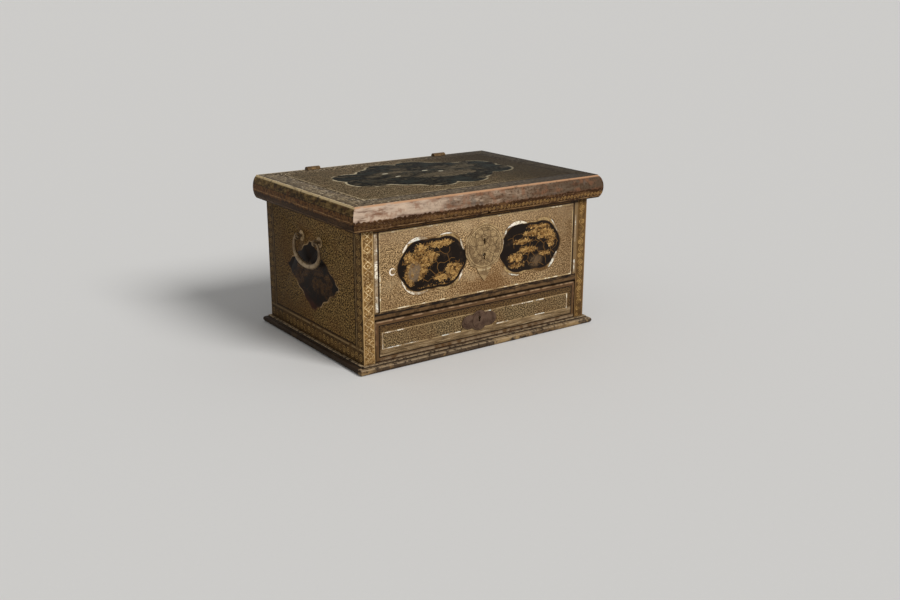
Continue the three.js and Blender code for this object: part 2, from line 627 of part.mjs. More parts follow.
function chestLockPlate() {
  const back = FRONT_Y - SEAT;
  const plate = extrudeAlongY(chestPlateOutline(), back - CHEST_PLATE_THICKNESS, back, 4);
  plate.translate(CHEST_LOCK_X, 0, CHEST_KEYHOLE_HEIGHT + CHEST_PLATE_CENTRE_RISE);
  return cut(plate, chestKeyhole(), haspSlot());
}

// A shallow iron box, open to the front, whose back plate is flush with the wood.
function lockCase(x, width, bottom, top, innerY, depth) {
  const outer = block(x - width / 2, x + width / 2, innerY - depth, innerY, bottom, top);
  const hollowHalf = width / 2 - LOCK_WALL;
  const hollow = block(x - hollowHalf, x + hollowHalf, innerY - depth - OVERCUT, innerY - LOCK_WALL,
    bottom + LOCK_WALL, top - LOCK_WALL);
  return cut(outer, hollow);
}

function chestLockCase() {
  return lockCase(CHEST_LOCK_X, CHEST_CASE_WIDTH, CHEST_CASE_BOTTOM, CHEST_CASE_TOP, FRONT_Y + FRONT_THICKNESS,
    CHEST_CASE_DEPTH);
}

function drawerLockCase() {
  const shell = lockCase(DRAWER_LOCK_X, DRAWER_CASE_WIDTH, DRAWER_CASE_BOTTOM, DRAWER_CASE_TOP,
    DRAWER_FRONT_INNER_Y, DRAWER_CASE_DEPTH);
  const boltX = DRAWER_BOLT_WIDTH / 2 + BOLT_SLOT_GAP;
  const [boltFrontY] = drawerBoltDepth();
  return cut(shell, block(DRAWER_LOCK_X - boltX, DRAWER_LOCK_X + boltX, boltFrontY - BOLT_SLOT_GAP,
    DRAWER_FRONT_INNER_Y - LOCK_WALL, DRAWER_CASE_TOP - 2 * LOCK_WALL, DRAWER_CASE_TOP + OVERCUT));
}

// The chest lock's bolt: a bar behind the hasp slot and a leg with a notch that the key pushes.
function chestLockBolt() {
  const tip = CHEST_LOCK_X + HASP_SLOT_WIDTH / 2 + CHEST_BOLT_TIP_CLEARANCE;
  const top = HASP_SLOT_HEIGHT + CHEST_BOLT_HEIGHT / 2;
  const barBottom = top - CHEST_BOLT_HEIGHT;
  const legBottom = CHEST_KEYHOLE_HEIGHT + CHEST_KEYHOLE_RADIUS + BOLT_ABOVE_KEYHOLE;
  const legEnd = tip + CHEST_BOLT_LEG_WIDTH;
  const outline = new THREE.Shape();
  outline.moveTo(tip, barBottom);
  outline.lineTo(tip, top);
  outline.lineTo(tip + CHEST_BOLT_LENGTH, top);
  outline.lineTo(tip + CHEST_BOLT_LENGTH, barBottom);
  outline.lineTo(legEnd, barBottom);
  outline.lineTo(legEnd, legBottom);
  outline.absarc((tip + legEnd) / 2, legBottom, CHEST_BOLT_NOTCH_RADIUS, 0, Math.PI, false);
  outline.lineTo(tip, legBottom);
  outline.closePath();
  const back = FRONT_Y + FRONT_THICKNESS - LOCK_WALL - SLIDING_GAP;
  return extrudeAlongY(outline, back - BOLT_THICKNESS, back);
}

// The drawer lock's bolt: an upright tongue with a notched foot to the left, above the keyhole.
function drawerLockBolt() {
  const top = DRAWER_FRONT_TOP - DRAWER_BOLT_BELOW_TOP;
  const bottom = DRAWER_KEYHOLE_HEIGHT + DRAWER_KEYHOLE_RADIUS + BOLT_ABOVE_KEYHOLE;
  const footTop = bottom + DRAWER_BOLT_FOOT_HEIGHT;
  const half = DRAWER_BOLT_WIDTH / 2;
  const outline = new THREE.Shape();
  outline.moveTo(DRAWER_LOCK_X - half, footTop);
  outline.lineTo(DRAWER_LOCK_X - half, top);
  outline.lineTo(DRAWER_LOCK_X + half, top);
  outline.lineTo(DRAWER_LOCK_X + half, bottom);
  outline.absarc(DRAWER_LOCK_X, bottom, DRAWER_KEYHOLE_RADIUS, 0, Math.PI, false);
  outline.lineTo(DRAWER_LOCK_X - DRAWER_BOLT_FOOT_REACH, bottom);
  outline.lineTo(DRAWER_LOCK_X - DRAWER_BOLT_FOOT_REACH, footTop);
  outline.closePath();
  const [front, back] = drawerBoltDepth();
  return extrudeAlongY(outline, front, back);
}

// A bowed leaf spring between two points, bent by its control point, as a thin ribbon.
function leafSpring(from, control, to, yLow, yHigh) {
  const middle = new THREE.QuadraticBezierCurve(
    new THREE.Vector2(...from), new THREE.Vector2(...control), new THREE.Vector2(...to),
  );
  const steps = 10;
  const left = [];
  const right = [];
  for (let i = 0; i <= steps; i += 1) {
    const point = middle.getPoint(i / steps);
    const along = middle.getTangent(i / steps);
    const side = new THREE.Vector2(-along.y, along.x).multiplyScalar(SPRING_THICKNESS / 2);
    left.push(point.clone().add(side));
    right.unshift(point.clone().sub(side));
  }
  return extrudeAlongY(new THREE.Shape([...left, ...right]), yLow, yHigh);
}

function chestLockSpring() {
  const boltTop = HASP_SLOT_HEIGHT + CHEST_BOLT_HEIGHT / 2;
  const start = CHEST_LOCK_X + CHEST_CASE_WIDTH / 2 - LOCK_WALL - SPRING_END_MARGIN;
  const end = CHEST_LOCK_X + HASP_SLOT_WIDTH / 2 + SPRING_END_MARGIN;
  const high = CHEST_CASE_TOP - LOCK_WALL - SPRING_THICKNESS / 2 - SEAT;
  const low = boltTop + SPRING_THICKNESS / 2 + TURNING_GAP;
  const back = FRONT_Y + FRONT_THICKNESS - LOCK_WALL - SLIDING_GAP;
  const bow = [(start + end) / 2, 2 * low - high];
  return leafSpring([start, high], bow, [end, high], back - BOLT_THICKNESS, back);
}

function drawerLockSpring() {
  const boltSide = DRAWER_LOCK_X + DRAWER_BOLT_WIDTH / 2;
  const caseSide = DRAWER_LOCK_X + DRAWER_CASE_WIDTH / 2 - LOCK_WALL;
  const far = caseSide - SPRING_THICKNESS / 2 - SEAT;
  const near = boltSide + SPRING_THICKNESS / 2 + TURNING_GAP;
  const top = DRAWER_CASE_TOP - 2 * LOCK_WALL;
  const bottom = top - DRAWER_SPRING_FALL;
  const [front, back] = drawerBoltDepth();
  return leafSpring([far, top], [(near + far) / 2, top], [near, bottom], front, back);
}

// The pin that a hollow key turns on, with a round foot on the case's back plate.
function keyPin(x, height, plateY, tipY) {
  const footY = plateY - SEAT;
  return join(
    rod('y', KEY_PIN_RADIUS, tipY, footY, [x, height], 12),
    rod('y', KEY_PIN_FOOT_RADIUS, footY - KEY_PIN_FOOT_HEIGHT, footY, [x, height], 12),
  );
}

// A disc with two wings, and a raised disc round the keyhole.
function drawerLockPlate() {
  const back = FRONT_Y - SEAT;
  const front = back - DRAWER_PLATE_THICKNESS;
  const middle = [DRAWER_LOCK_X, DRAWER_KEYHOLE_HEIGHT - DRAWER_PLATE_DROP];
  const wing = (hand) => {
    const outline = new THREE.Shape();
    const centre = DRAWER_LOCK_X + hand * (DRAWER_PLATE_WING_REACH - DRAWER_PLATE_WING_WIDTH);
    outline.absellipse(centre, middle[1], DRAWER_PLATE_WING_WIDTH, DRAWER_PLATE_WING_HEIGHT,
      0, 2 * Math.PI, false, 0);
    return extrudeAlongY(outline, front, back, 28);
  };
  return cut(
    join(
      rod('y', DRAWER_PLATE_DISC_RADIUS, front, back, middle, 36),
      wing(1),
      wing(-1),
      rod('y', DRAWER_PLATE_DISC_RADIUS - DRAWER_PLATE_RIM, front - DRAWER_PLATE_BOSS, back, middle, 36),
    ),
    keyhole(DRAWER_LOCK_X, DRAWER_KEYHOLE_HEIGHT, DRAWER_KEYHOLE_RADIUS, DRAWER_KEYHOLE_DROP,
      DRAWER_KEYHOLE_SLOT, front - DRAWER_PLATE_BOSS - OVERCUT, back + OVERCUT),
  );
}

// Hinges

const KNUCKLE_END = HINGE_LID_KNUCKLE / 2 + TURNING_GAP;

function pinHole(x) {
  const half = HINGE_WIDTH / 2 + OVERCUT;
  return rod('x', HINGE_PIN_RADIUS + SEAT, x - half, x + half, [HINGE_AXIS_Y, HINGE_AXIS_Z]);
}

// The leaf on the chest's back: two knuckles over a plate that ends in a lobed point.
function hingeBodyLeaf(x) {
  const half = HINGE_WIDTH / 2;
  const leafBack = BACK_Y + SEAT + HINGE_LEAF_THICKNESS;
  const bottom = HINGE_AXIS_Z - HINGE_BODY_LEAF_LENGTH;
  const top = HINGE_AXIS_Z - HINGE_BARREL_RADIUS - TURNING_GAP;
  const slope = half * HINGE_TIP_SLOPE;
  const neck = half * HINGE_TIP_NECK;
  const outline = new THREE.Shape();
  outline.moveTo(x - half, top);
  outline.lineTo(x - half, bottom + half);
  outline.quadraticCurveTo(x - half, bottom + slope, x - neck, bottom + neck);
  outline.lineTo(x, bottom);
  outline.lineTo(x + neck, bottom + neck);
  outline.quadraticCurveTo(x + half, bottom + slope, x + half, bottom + half);
  outline.lineTo(x + half, top);
  outline.closePath();
  const plate = extrudeAlongY(outline, BACK_Y + SEAT, leafBack);
  const knuckle = (from, to) => join(
    rod('x', HINGE_BARREL_RADIUS, from, to, [HINGE_AXIS_Y, HINGE_AXIS_Z], 20),
    block(from, to, BACK_Y + SEAT, leafBack, top - OVERCUT, HINGE_AXIS_Z),
  );
  return cut(
    join(plate, knuckle(x - half, x - KNUCKLE_END), knuckle(x + KNUCKLE_END, x + half)),
    pinHole(x),
  );
}

// The leaf on the lid: one knuckle and a strap that goes up the lid's back and bends over its top edge
// with a humped end. Its outline is drawn as overhang from the chest's back and height above the lid's
// underside.
function hingeLidLeaf(x) {
  const half = HINGE_WIDTH / 2;
  const inside = LID_BACK_OVERHANG + SEAT;
  const outside = inside + HINGE_LEAF_THICKNESS;
  const humpRadius = HINGE_STRAP_REACH / 2;
  const humpBottom = LID_HEIGHT + SEAT;
  const strapBottom = HINGE_BARREL_RADIUS + TURNING_GAP;
  const strap = new THREE.Shape();
  strap.moveTo(inside, strapBottom);
  strap.lineTo(outside, strapBottom);
  strap.absellipse(outside - humpRadius, humpBottom, humpRadius, HINGE_STRAP_RISE - SEAT,
    0, Math.PI, false, 0);
  strap.lineTo(inside, humpBottom);
  strap.closePath();
  const bentStrap = extrudeAlongX(strap, x - half, x + half, 8).translate(0, BACK_Y, LID_BOTTOM);
  const knuckleHalf = HINGE_LID_KNUCKLE / 2;
  const knuckle = join(
    rod('x', HINGE_BARREL_RADIUS, x - knuckleHalf, x + knuckleHalf, [HINGE_AXIS_Y, HINGE_AXIS_Z], 20),
    block(x - knuckleHalf, x + knuckleHalf, BACK_Y + inside, BACK_Y + outside,
      HINGE_AXIS_Z, LID_BOTTOM + strapBottom + OVERCUT),
  );
  return cut(join(bentStrap, knuckle), pinHole(x));
}

function hingePin(x) {
  const half = HINGE_WIDTH / 2;
  return rod('x', HINGE_PIN_RADIUS, x - half, x + half, [HINGE_AXIS_Y, HINGE_AXIS_Z]);
}

// Handles: all are built for the right side and mirrored for the left

// A petalled washer under the eye.
function rosette(y) {
  const outline = new THREE.Shape();
  const waist = ROSETTE_RADIUS * ROSETTE_WAIST;
  const step = 2 * Math.PI / ROSETTE_PETALS;
  outline.moveTo(waist, 0);
  for (let i = 0; i < ROSETTE_PETALS; i += 1) {
    const middle = (i + 0.5) * step;
    const end = (i + 1) * step;
    const bulge = ROSETTE_RADIUS * ROSETTE_BULGE;
    outline.quadraticCurveTo(bulge * Math.cos(middle), bulge * Math.sin(middle), waist * Math.cos(end),
      waist * Math.sin(end));
  }
  const hole = new THREE.Path();
  hole.absarc(0, 0, SHANK_RADIUS + SEAT, 0, 2 * Math.PI, true);
  outline.holes.push(hole);
  const x = HALF_WIDTH + SEAT;
  return extrudeAlongX(outline, x, x + ROSETTE_THICKNESS, 4).translate(0, y, EYE_HEIGHT);
}

// A ring on a shank that goes through the side board, with its two legs clenched flat inside.
function handleEye(y) {
  const ring = new THREE.TorusGeometry(EYE_RADIUS, EYE_WIRE_RADIUS, 10, 24);
  ring.rotateX(Math.PI / 2).translate(HALF_WIDTH + EYE_STAND_OFF, y, EYE_HEIGHT);
  const ringInside = HALF_WIDTH + EYE_STAND_OFF - EYE_RADIUS;
  const clenchX = INNER_X - SEAT - CLENCH_THICKNESS;
  const shank = rod('x', SHANK_RADIUS, clenchX, ringInside, [y, EYE_HEIGHT], 12);
  const legHalf = CLENCH_WIDTH / 2;
  const legs = block(clenchX, clenchX + CLENCH_THICKNESS, y - legHalf, y + legHalf,
    EYE_HEIGHT - CLENCH_LENGTH, EYE_HEIGHT + CLENCH_LENGTH);
  return join(ring, shank, legs);
}

// A tube along a curve whose thickness changes: radiusAt gives the radius from 0 to 1 along it.
function taperedTube(curve, steps, sides, radiusAt) {
  const section = new THREE.Shape();
  section.absarc(0, 0, 1, 0, 2 * Math.PI, false);
  const tube = new THREE.ExtrudeGeometry(section, { steps, extrudePath: curve, curveSegments: sides });
  const rings = curve.getSpacedPoints(steps);
  const points = tube.attributes.position;
  const point = new THREE.Vector3();
  for (let i = 0; i < points.count; i += 1) {
    point.fromBufferAttribute(points, i);
    const nearest = rings.reduce((best, ring, index) => (
      ring.distanceTo(point) < rings[best].distanceTo(point) ? index : best), 0);
    const radius = radiusAt(nearest / steps);
    point.sub(rings[nearest]).multiplyScalar(radius).add(rings[nearest]);
    points.setXYZ(i, point.x, point.y, point.z);
  }
  return tube;
}

// The bail: straight ends through the eyes, shoulders that bulge past them and a thick middle.
function bail() {
  const x = HALF_WIDTH + EYE_STAND_OFF;
  const pivot = EYE_HEIGHT - BAIL_PIVOT_DROP;
  const eyeY = EYE_SPACING / 2;
  const straight = BAIL_END_LENGTH / 2;
  const shoulderY = eyeY + straight;
  const halfRoute = [[eyeY - straight, 0], [eyeY, 0], [shoulderY, 0]];
  for (let i = 1; i <= BAIL_ARC_STEPS; i += 1) {
    const turn = i / BAIL_ARC_STEPS * Math.PI / 2;
    halfRoute.push([
      shoulderY + (BAIL_HALF_WIDTH - shoulderY) * Math.sin(turn),
      -BAIL_SHOULDER_DROP * (1 - Math.cos(turn)),
    ]);
  }
  for (let i = 1; i < BAIL_ARC_STEPS; i += 1) {
    const turn = i / BAIL_ARC_STEPS * Math.PI / 2;
    halfRoute.push([
      BAIL_HALF_WIDTH * Math.cos(turn),
      -BAIL_SHOULDER_DROP - (BAIL_DROP - BAIL_SHOULDER_DROP) * Math.sin(turn),
    ]);
  }
  const place = ([y, z], hand) => new THREE.Vector3(x, hand * y, pivot + z);
  const route = [
    ...halfRoute.map((point) => place(point, -1)),
    place([0, -BAIL_DROP], 1),
    ...halfRoute.toReversed().map((point) => place(point, 1)),
  ];
  const curve = new THREE.CatmullRomCurve3(route, false, 'centripetal');
  const spread = BAIL_MID_RADIUS - BAIL_END_RADIUS;
  return taperedTube(curve, BAIL_TUBE_STEPS, 12, (t) => {
    const fromEnd = Math.min(t, 1 - t) * 2;
    const swell = THREE.MathUtils.smoothstep(fromEnd, BAIL_TAPER_START, BAIL_TAPER_END);
    return BAIL_END_RADIUS + spread * swell;
  });
}

function onSide(geometry, side) {
  return side === 'right' ? geometry : mirroredInX(geometry);
}

// Assembly

addPiece('base_board', housedBoard(0, BASE_THICKNESS), innerLacquer);
addPiece('left_side_board', sideBoard('left'), speckledLacquer);
addPiece('right_side_board', sideBoard('right'), speckledLacquer);
addPiece('front_board', frontBoard(), speckledLacquer);
addPiece('chest_floor', chestFloor(), blackLacquer);
addPiece('back_board', backBoard(), blackLacquer);
addPiece('drawer_stop_left', drawerStop(-1), innerLacquer);
addPiece('drawer_stop_right', drawerStop(1), innerLacquer);

for (const [side, rail] of Object.entries(mitredFrame(plinthSection(), 0, HALF_WIDTH, HALF_DEPTH))) {
  addPiece(`plinth_${side}`, rail, plinthLacquer);
}

for (const [side, rail] of Object.entries(lidFrame())) {
  addPiece(`lid_rail_${side}`, rail, wornLidLacquer);
}
addPiece('lid_panel', lidPanel(), goldBorderLacquer);

addPiece('drawer_front', drawerFront(), speckledLacquer);
addPiece('drawer_left', drawerSide(-1), innerLacquer);
addPiece('drawer_right', drawerSide(1), innerLacquer);
addPiece('drawer_back', drawerBack(), innerLacquer);
addPiece('drawer_bottom', drawerBottom(), innerLacquer);

const keyPinTip = FRONT_Y + KEY_PIN_INSET;
const chestCasePlate = FRONT_Y + FRONT_THICKNESS - LOCK_WALL;
addPiece('chest_lock_plate', chestLockPlate(), gildedPlate);
addPiece('chest_lock_case', chestLockCase(), lockIron);
addPiece('chest_lock_bolt', chestLockBolt(), lockIron);
addPiece('chest_lock_spring', chestLockSpring(), lockIron);
addPiece('chest_lock_key_pin', keyPin(CHEST_LOCK_X, CHEST_KEYHOLE_HEIGHT, chestCasePlate, keyPinTip), lockIron);

const drawerCasePlate = DRAWER_FRONT_INNER_Y - LOCK_WALL;
addPiece('drawer_lock_plate', drawerLockPlate(), darkIron);
addPiece('drawer_lock_case', drawerLockCase(), lockIron);
addPiece('drawer_lock_bolt', drawerLockBolt(), lockIron);
addPiece('drawer_lock_spring', drawerLockSpring(), lockIron);
const drawerKeyPin = keyPin(DRAWER_LOCK_X, DRAWER_KEYHOLE_HEIGHT, drawerCasePlate, keyPinTip);
addPiece('drawer_lock_key_pin', drawerKeyPin, lockIron);

for (const [side, x] of [['left', -HINGE_X], ['right', HINGE_X]]) {
  addPiece(`${side}_hinge_body_leaf`, hingeBodyLeaf(x), gildedPlate);
  addPiece(`${side}_hinge_lid_leaf`, hingeLidLeaf(x), gildedPlate);
  addPiece(`${side}_hinge_pin`, hingePin(x), handleMetal);
}

for (const side of ['left', 'right']) {
  for (const [end, y] of [['front', -EYE_SPACING / 2], ['back', EYE_SPACING / 2]]) {
    addPiece(`${side}_${end}_rosette`, onSide(rosette(y), side), gildedPlate);
    addPiece(`${side}_${end}_eye`, onSide(handleEye(y), side), handleMetal);
  }
  addPiece(`${side}_bail`, onSide(bail(), side), handleMetal);
}

export default chest;
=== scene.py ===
"""Finishes, inlay, small fittings, light and camera for the lacquer chest.

The chest stands on Z = 0 and faces -Y. Materials are painted in millimetres on Object coordinates.
"""

import json
import math
import random

import bmesh
import bpy
from mathutils import Matrix, Vector


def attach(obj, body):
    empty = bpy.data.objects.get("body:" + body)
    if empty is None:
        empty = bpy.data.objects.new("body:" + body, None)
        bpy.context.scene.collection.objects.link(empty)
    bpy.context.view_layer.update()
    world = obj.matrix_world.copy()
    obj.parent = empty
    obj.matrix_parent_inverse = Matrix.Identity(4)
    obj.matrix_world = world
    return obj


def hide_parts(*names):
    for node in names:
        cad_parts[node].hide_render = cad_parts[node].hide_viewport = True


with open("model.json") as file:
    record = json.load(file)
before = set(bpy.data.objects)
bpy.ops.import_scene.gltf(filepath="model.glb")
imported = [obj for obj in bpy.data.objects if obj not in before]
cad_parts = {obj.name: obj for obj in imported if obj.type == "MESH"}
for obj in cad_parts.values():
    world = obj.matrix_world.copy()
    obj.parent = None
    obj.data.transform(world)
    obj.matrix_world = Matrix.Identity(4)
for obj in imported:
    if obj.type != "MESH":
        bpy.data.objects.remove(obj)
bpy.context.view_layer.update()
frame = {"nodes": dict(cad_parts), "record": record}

bl_info = {
    "name": "Lacquer chest finishes",
    "version": (1, 0, 0),
    "blender": (4, 5, 0),
    "location": "View3D > Sidebar > Chest",
    "description": "Paints the ray-skin lacquer, lays the pearl and gold, and lights a small lacquer chest",
    "category": "Object",
}

# Lengths below are in millimetres, in the chest's own frame

MM = 0.001
CARCASE_TOP = 224.5
POST_MIDDLE = 214.6
LID_HALF_WIDTH = 240.5
LID_FRONT, LID_BACK = -168.5, 162
LID_BORDER = 40
BACK_BORDER_CUT = 26
INLAY_Y = -159
INLAY_MIDDLE, INLAY_DEPTH = INLAY_Y - 0.075, 0.35
FRAME_X, FRAME_BOTTOM, FRAME_TOP = 193.6, 94.4, 216.6
PLATE_X, PLATE_Z, PLATE_NAILS_RADIUS = 4, 169.7, 36
DRAWER_PLATE_X, DRAWER_PLATE_Z = -5, 46
DRAWER_HALF_WIDTH, DRAWER_BOTTOM, DRAWER_TOP = 204.1, 13.3, 78.6
PLATE_NAIL_Y, DRAWER_NAIL_Y = -160.6, -161.3
PLATE_NAIL_ANGLES = (20, 90, 160, 215, 325)
DRAWER_NAILS = ((-29, 0), (29, 0), (0, 14), (0, -14))
SIDE_RESERVE_Z = 120
SIDE_HALF_DEPTH, SIDE_HALF_HEIGHT = 88, 60
SIDE_END_SCROLL, SIDE_FOOT_SCROLL = 148.5, 23

# Copies of CAD nodes: faces within this angle, in degrees, are one face; the distance is in metres
MERGE_DISTANCE, FLAT_ANGLE = 2e-6, 0.4
ORNAMENT_SMOOTH_ANGLE = 40

# Reserves are round lobes melted together. Each has its middle across, its middle up and its radius,
# and shows in all four quarters
RESERVE_SHIFT, RESERVE_X, RESERVE_Z = 2, 98.5, 156
LOBE_U, LOBE_V, LOBE_RADIUS = 26, 13, 33
RESERVE_LOBES = ((0, 0, 42), (LOBE_U, LOBE_V, LOBE_RADIUS), (44, 0, 22.5))
FIELD_LOBES = ((0, 0, 40), (24, 7, 33.5), (40, 0, 25))
LID_LOBES = ((0, 0, 88), (60, 38, 46), (96, 0, 52), (30, 76, 36), (126, 24, 36))

# Raised gold: for each reserve the ovals with flowers and the ovals with leaves, each with its middle
# and its half width and half height
POINTS_PER_PETAL = 4
GOLD_THICKNESS, GOLD_DEPTH = 0.25, 0.12
GOLD_BANKS = {
    -RESERVE_X: (((-103, 163, 9, 7), (-120, 183, 10, 6), (-143, 172, 5, 7), (-56, 141, 13, 8)),
                 ((-140, 142, 7, 17), (-114, 169, 25, 9), (-84, 187, 22, 4), (-80, 131, 13, 4),
                  (-50, 130, 11, 6))),
    RESERVE_X: (((70, 140, 13, 6), (132, 174, 15, 8), (104, 189, 9, 3)),
                ((84, 166, 16, 3), (120, 180, 24, 5), (145, 162, 8, 14), (96, 151, 17, 4),
                 (134, 140, 11, 3))),
}

# Moves the scattered leaves off the scattered flowers
LEAF_SHIFT = (37, 11)

# Shell: upright strips from x to x and z to z, and crescents on the lobes of the reserves, each with
# its reserve, lobe to the side, lobe upwards, start and sweep in degrees, and width. Its ends taper to
# the share ARC_TIP
POST_PEARL = ((-203.1, -197.9, 94.5, 133), (-203.1, -197.9, 133.6, 171), (-203.1, -197.9, 171.8, 216.5),
              (199.2, 201.6, 96, 118), (199.2, 201.6, 150, 197))
RESERVE_PEARL = (
    (-1, -1, 1, 60, 72, 5.6), (-1, -1, 1, 128, 34, 4), (-1, -1, -1, 222, 76, 4.6),
    (-1, -1, -1, 190, 34, 2.6), (-1, 1, 1, 2, 34, 3.4), (-1, 1, 1, 66, 46, 2.2), (-1, 1, -1, 316, 34, 3.8),
    (1, -1, 1, 58, 76, 5.8), (1, -1, 1, 136, 26, 3.6), (1, 1, 1, 10, 46, 2.8), (1, 1, -1, 298, 56, 5.4),
    (1, -1, -1, 236, 40, 2.4), (1, -1, 1, 166, 24, 3.4))
ARC_STEP, ARC_TIP = 8, 0.16
LOOP_X, LOOP_Z = -171.5, 154
PEARL_X, PEARL_Z = -2.35, 46
PEARL_HALF_WIDTH, PEARL_HALF_HEIGHT = 189.35, 13.5
DRAWER_PEARL_TOP = ((-189, -166), (-164, -150), (5, 20), (64, 82), (85, 110), (116, 134))
DRAWER_PEARL_BOTTOM = ((-189, -156), (-152, -124), (-80, -42), (32, 57), (115, 136))

# The stage, in metres and degrees
FLOOR_SIZE = 600
KEY_DIRECTION, KEY_ANGLE = (-0.28, 1, -0.78), 24
CAMERA_PLACE = (-0.984, -1.454, 0.572)
CAMERA_YAW, CAMERA_PITCH, CAMERA_ROLL = 35.41, 16.86, 0.12


def screen(red, green, blue):
    """A colour given as a screen shows it, 0 to 255, as the linear colour that a shader takes."""
    def channel(value):
        value /= 255
        return value / 12.92 if value <= 0.04045 else ((value + 0.055) / 1.055) ** 2.4
    return (channel(red), channel(green), channel(blue), 1)


def rgba(colour):
    return (colour[0], colour[1], colour[2], 1)


def toned(colour, share):
    """A colour made darker or lighter. It is given as a screen shows it, or with four linear numbers."""
    red, green, blue = (screen(*colour) if len(colour) == 3 else colour)[:3]
    return (red * share, green * share, blue * share, 1)


# Painting with node sums


class Field:
    """A number at each point of a surface."""

    def __init__(self, paint, socket):
        self.paint = paint
        self.socket = socket

    def math(self, operation, other=None, third=None):
        node = self.paint.nodes.new("ShaderNodeMath")
        node.operation = operation
        for slot, value in zip(node.inputs, (self, other, third)):
            self.paint.plug(value, slot)
        return Field(self.paint, node.outputs[0])

    def __add__(self, other):
        return self.math("ADD", other)

    __radd__ = __add__

    def __sub__(self, other):
        return self.math("SUBTRACT", other)

    def __rsub__(self, other):
        return self.math("MULTIPLY_ADD", -1, other)

    def __mul__(self, other):
        return self.math("MULTIPLY", other)

    __rmul__ = __mul__

    def __truediv__(self, other):
        return self.math("DIVIDE", other)

    def __neg__(self):
        return self.math("MULTIPLY", -1)

    def __abs__(self):
        return self.math("ABSOLUTE")

    def least(self, other):
        return self.math("MINIMUM", other)

    def most(self, other):
        return self.math("MAXIMUM", other)

    def sine(self):
        return self.math("SINE")

    def cosine(self):
        return self.math("COSINE")

    def repeat(self, pitch):
        """Folds a length into equal stretches that run from -pitch/2 to pitch/2."""
        return self.math("WRAP", pitch / 2, -pitch / 2)

    def rise(self, low, high):
        """0 below low, 1 above high; the other way round where high is the lower one."""
        node = self.paint.nodes.new("ShaderNodeMapRange")
        node.interpolation_type = "SMOOTHSTEP"
        falls = high < low
        self.paint.plug(self, node.inputs["Value"])
        node.inputs["From Min"].default_value = min(low, high)
        node.inputs["From Max"].default_value = max(low, high)
        node.inputs["To Min"].default_value = 1 if falls else 0
        node.inputs["To Max"].default_value = 0 if falls else 1
        return Field(self.paint, node.outputs["Result"])

    def band(self, low, high, edge=0.3):
        """1 between low and high, with soft edges."""
        return self.rise(low - edge, low + edge) * self.rise(high + edge, high - edge)

    def line(self, at, width, edge=0.2):
        """1 on a line of that width."""
        return abs(self - at).rise(width / 2 + edge, width / 2 - edge)


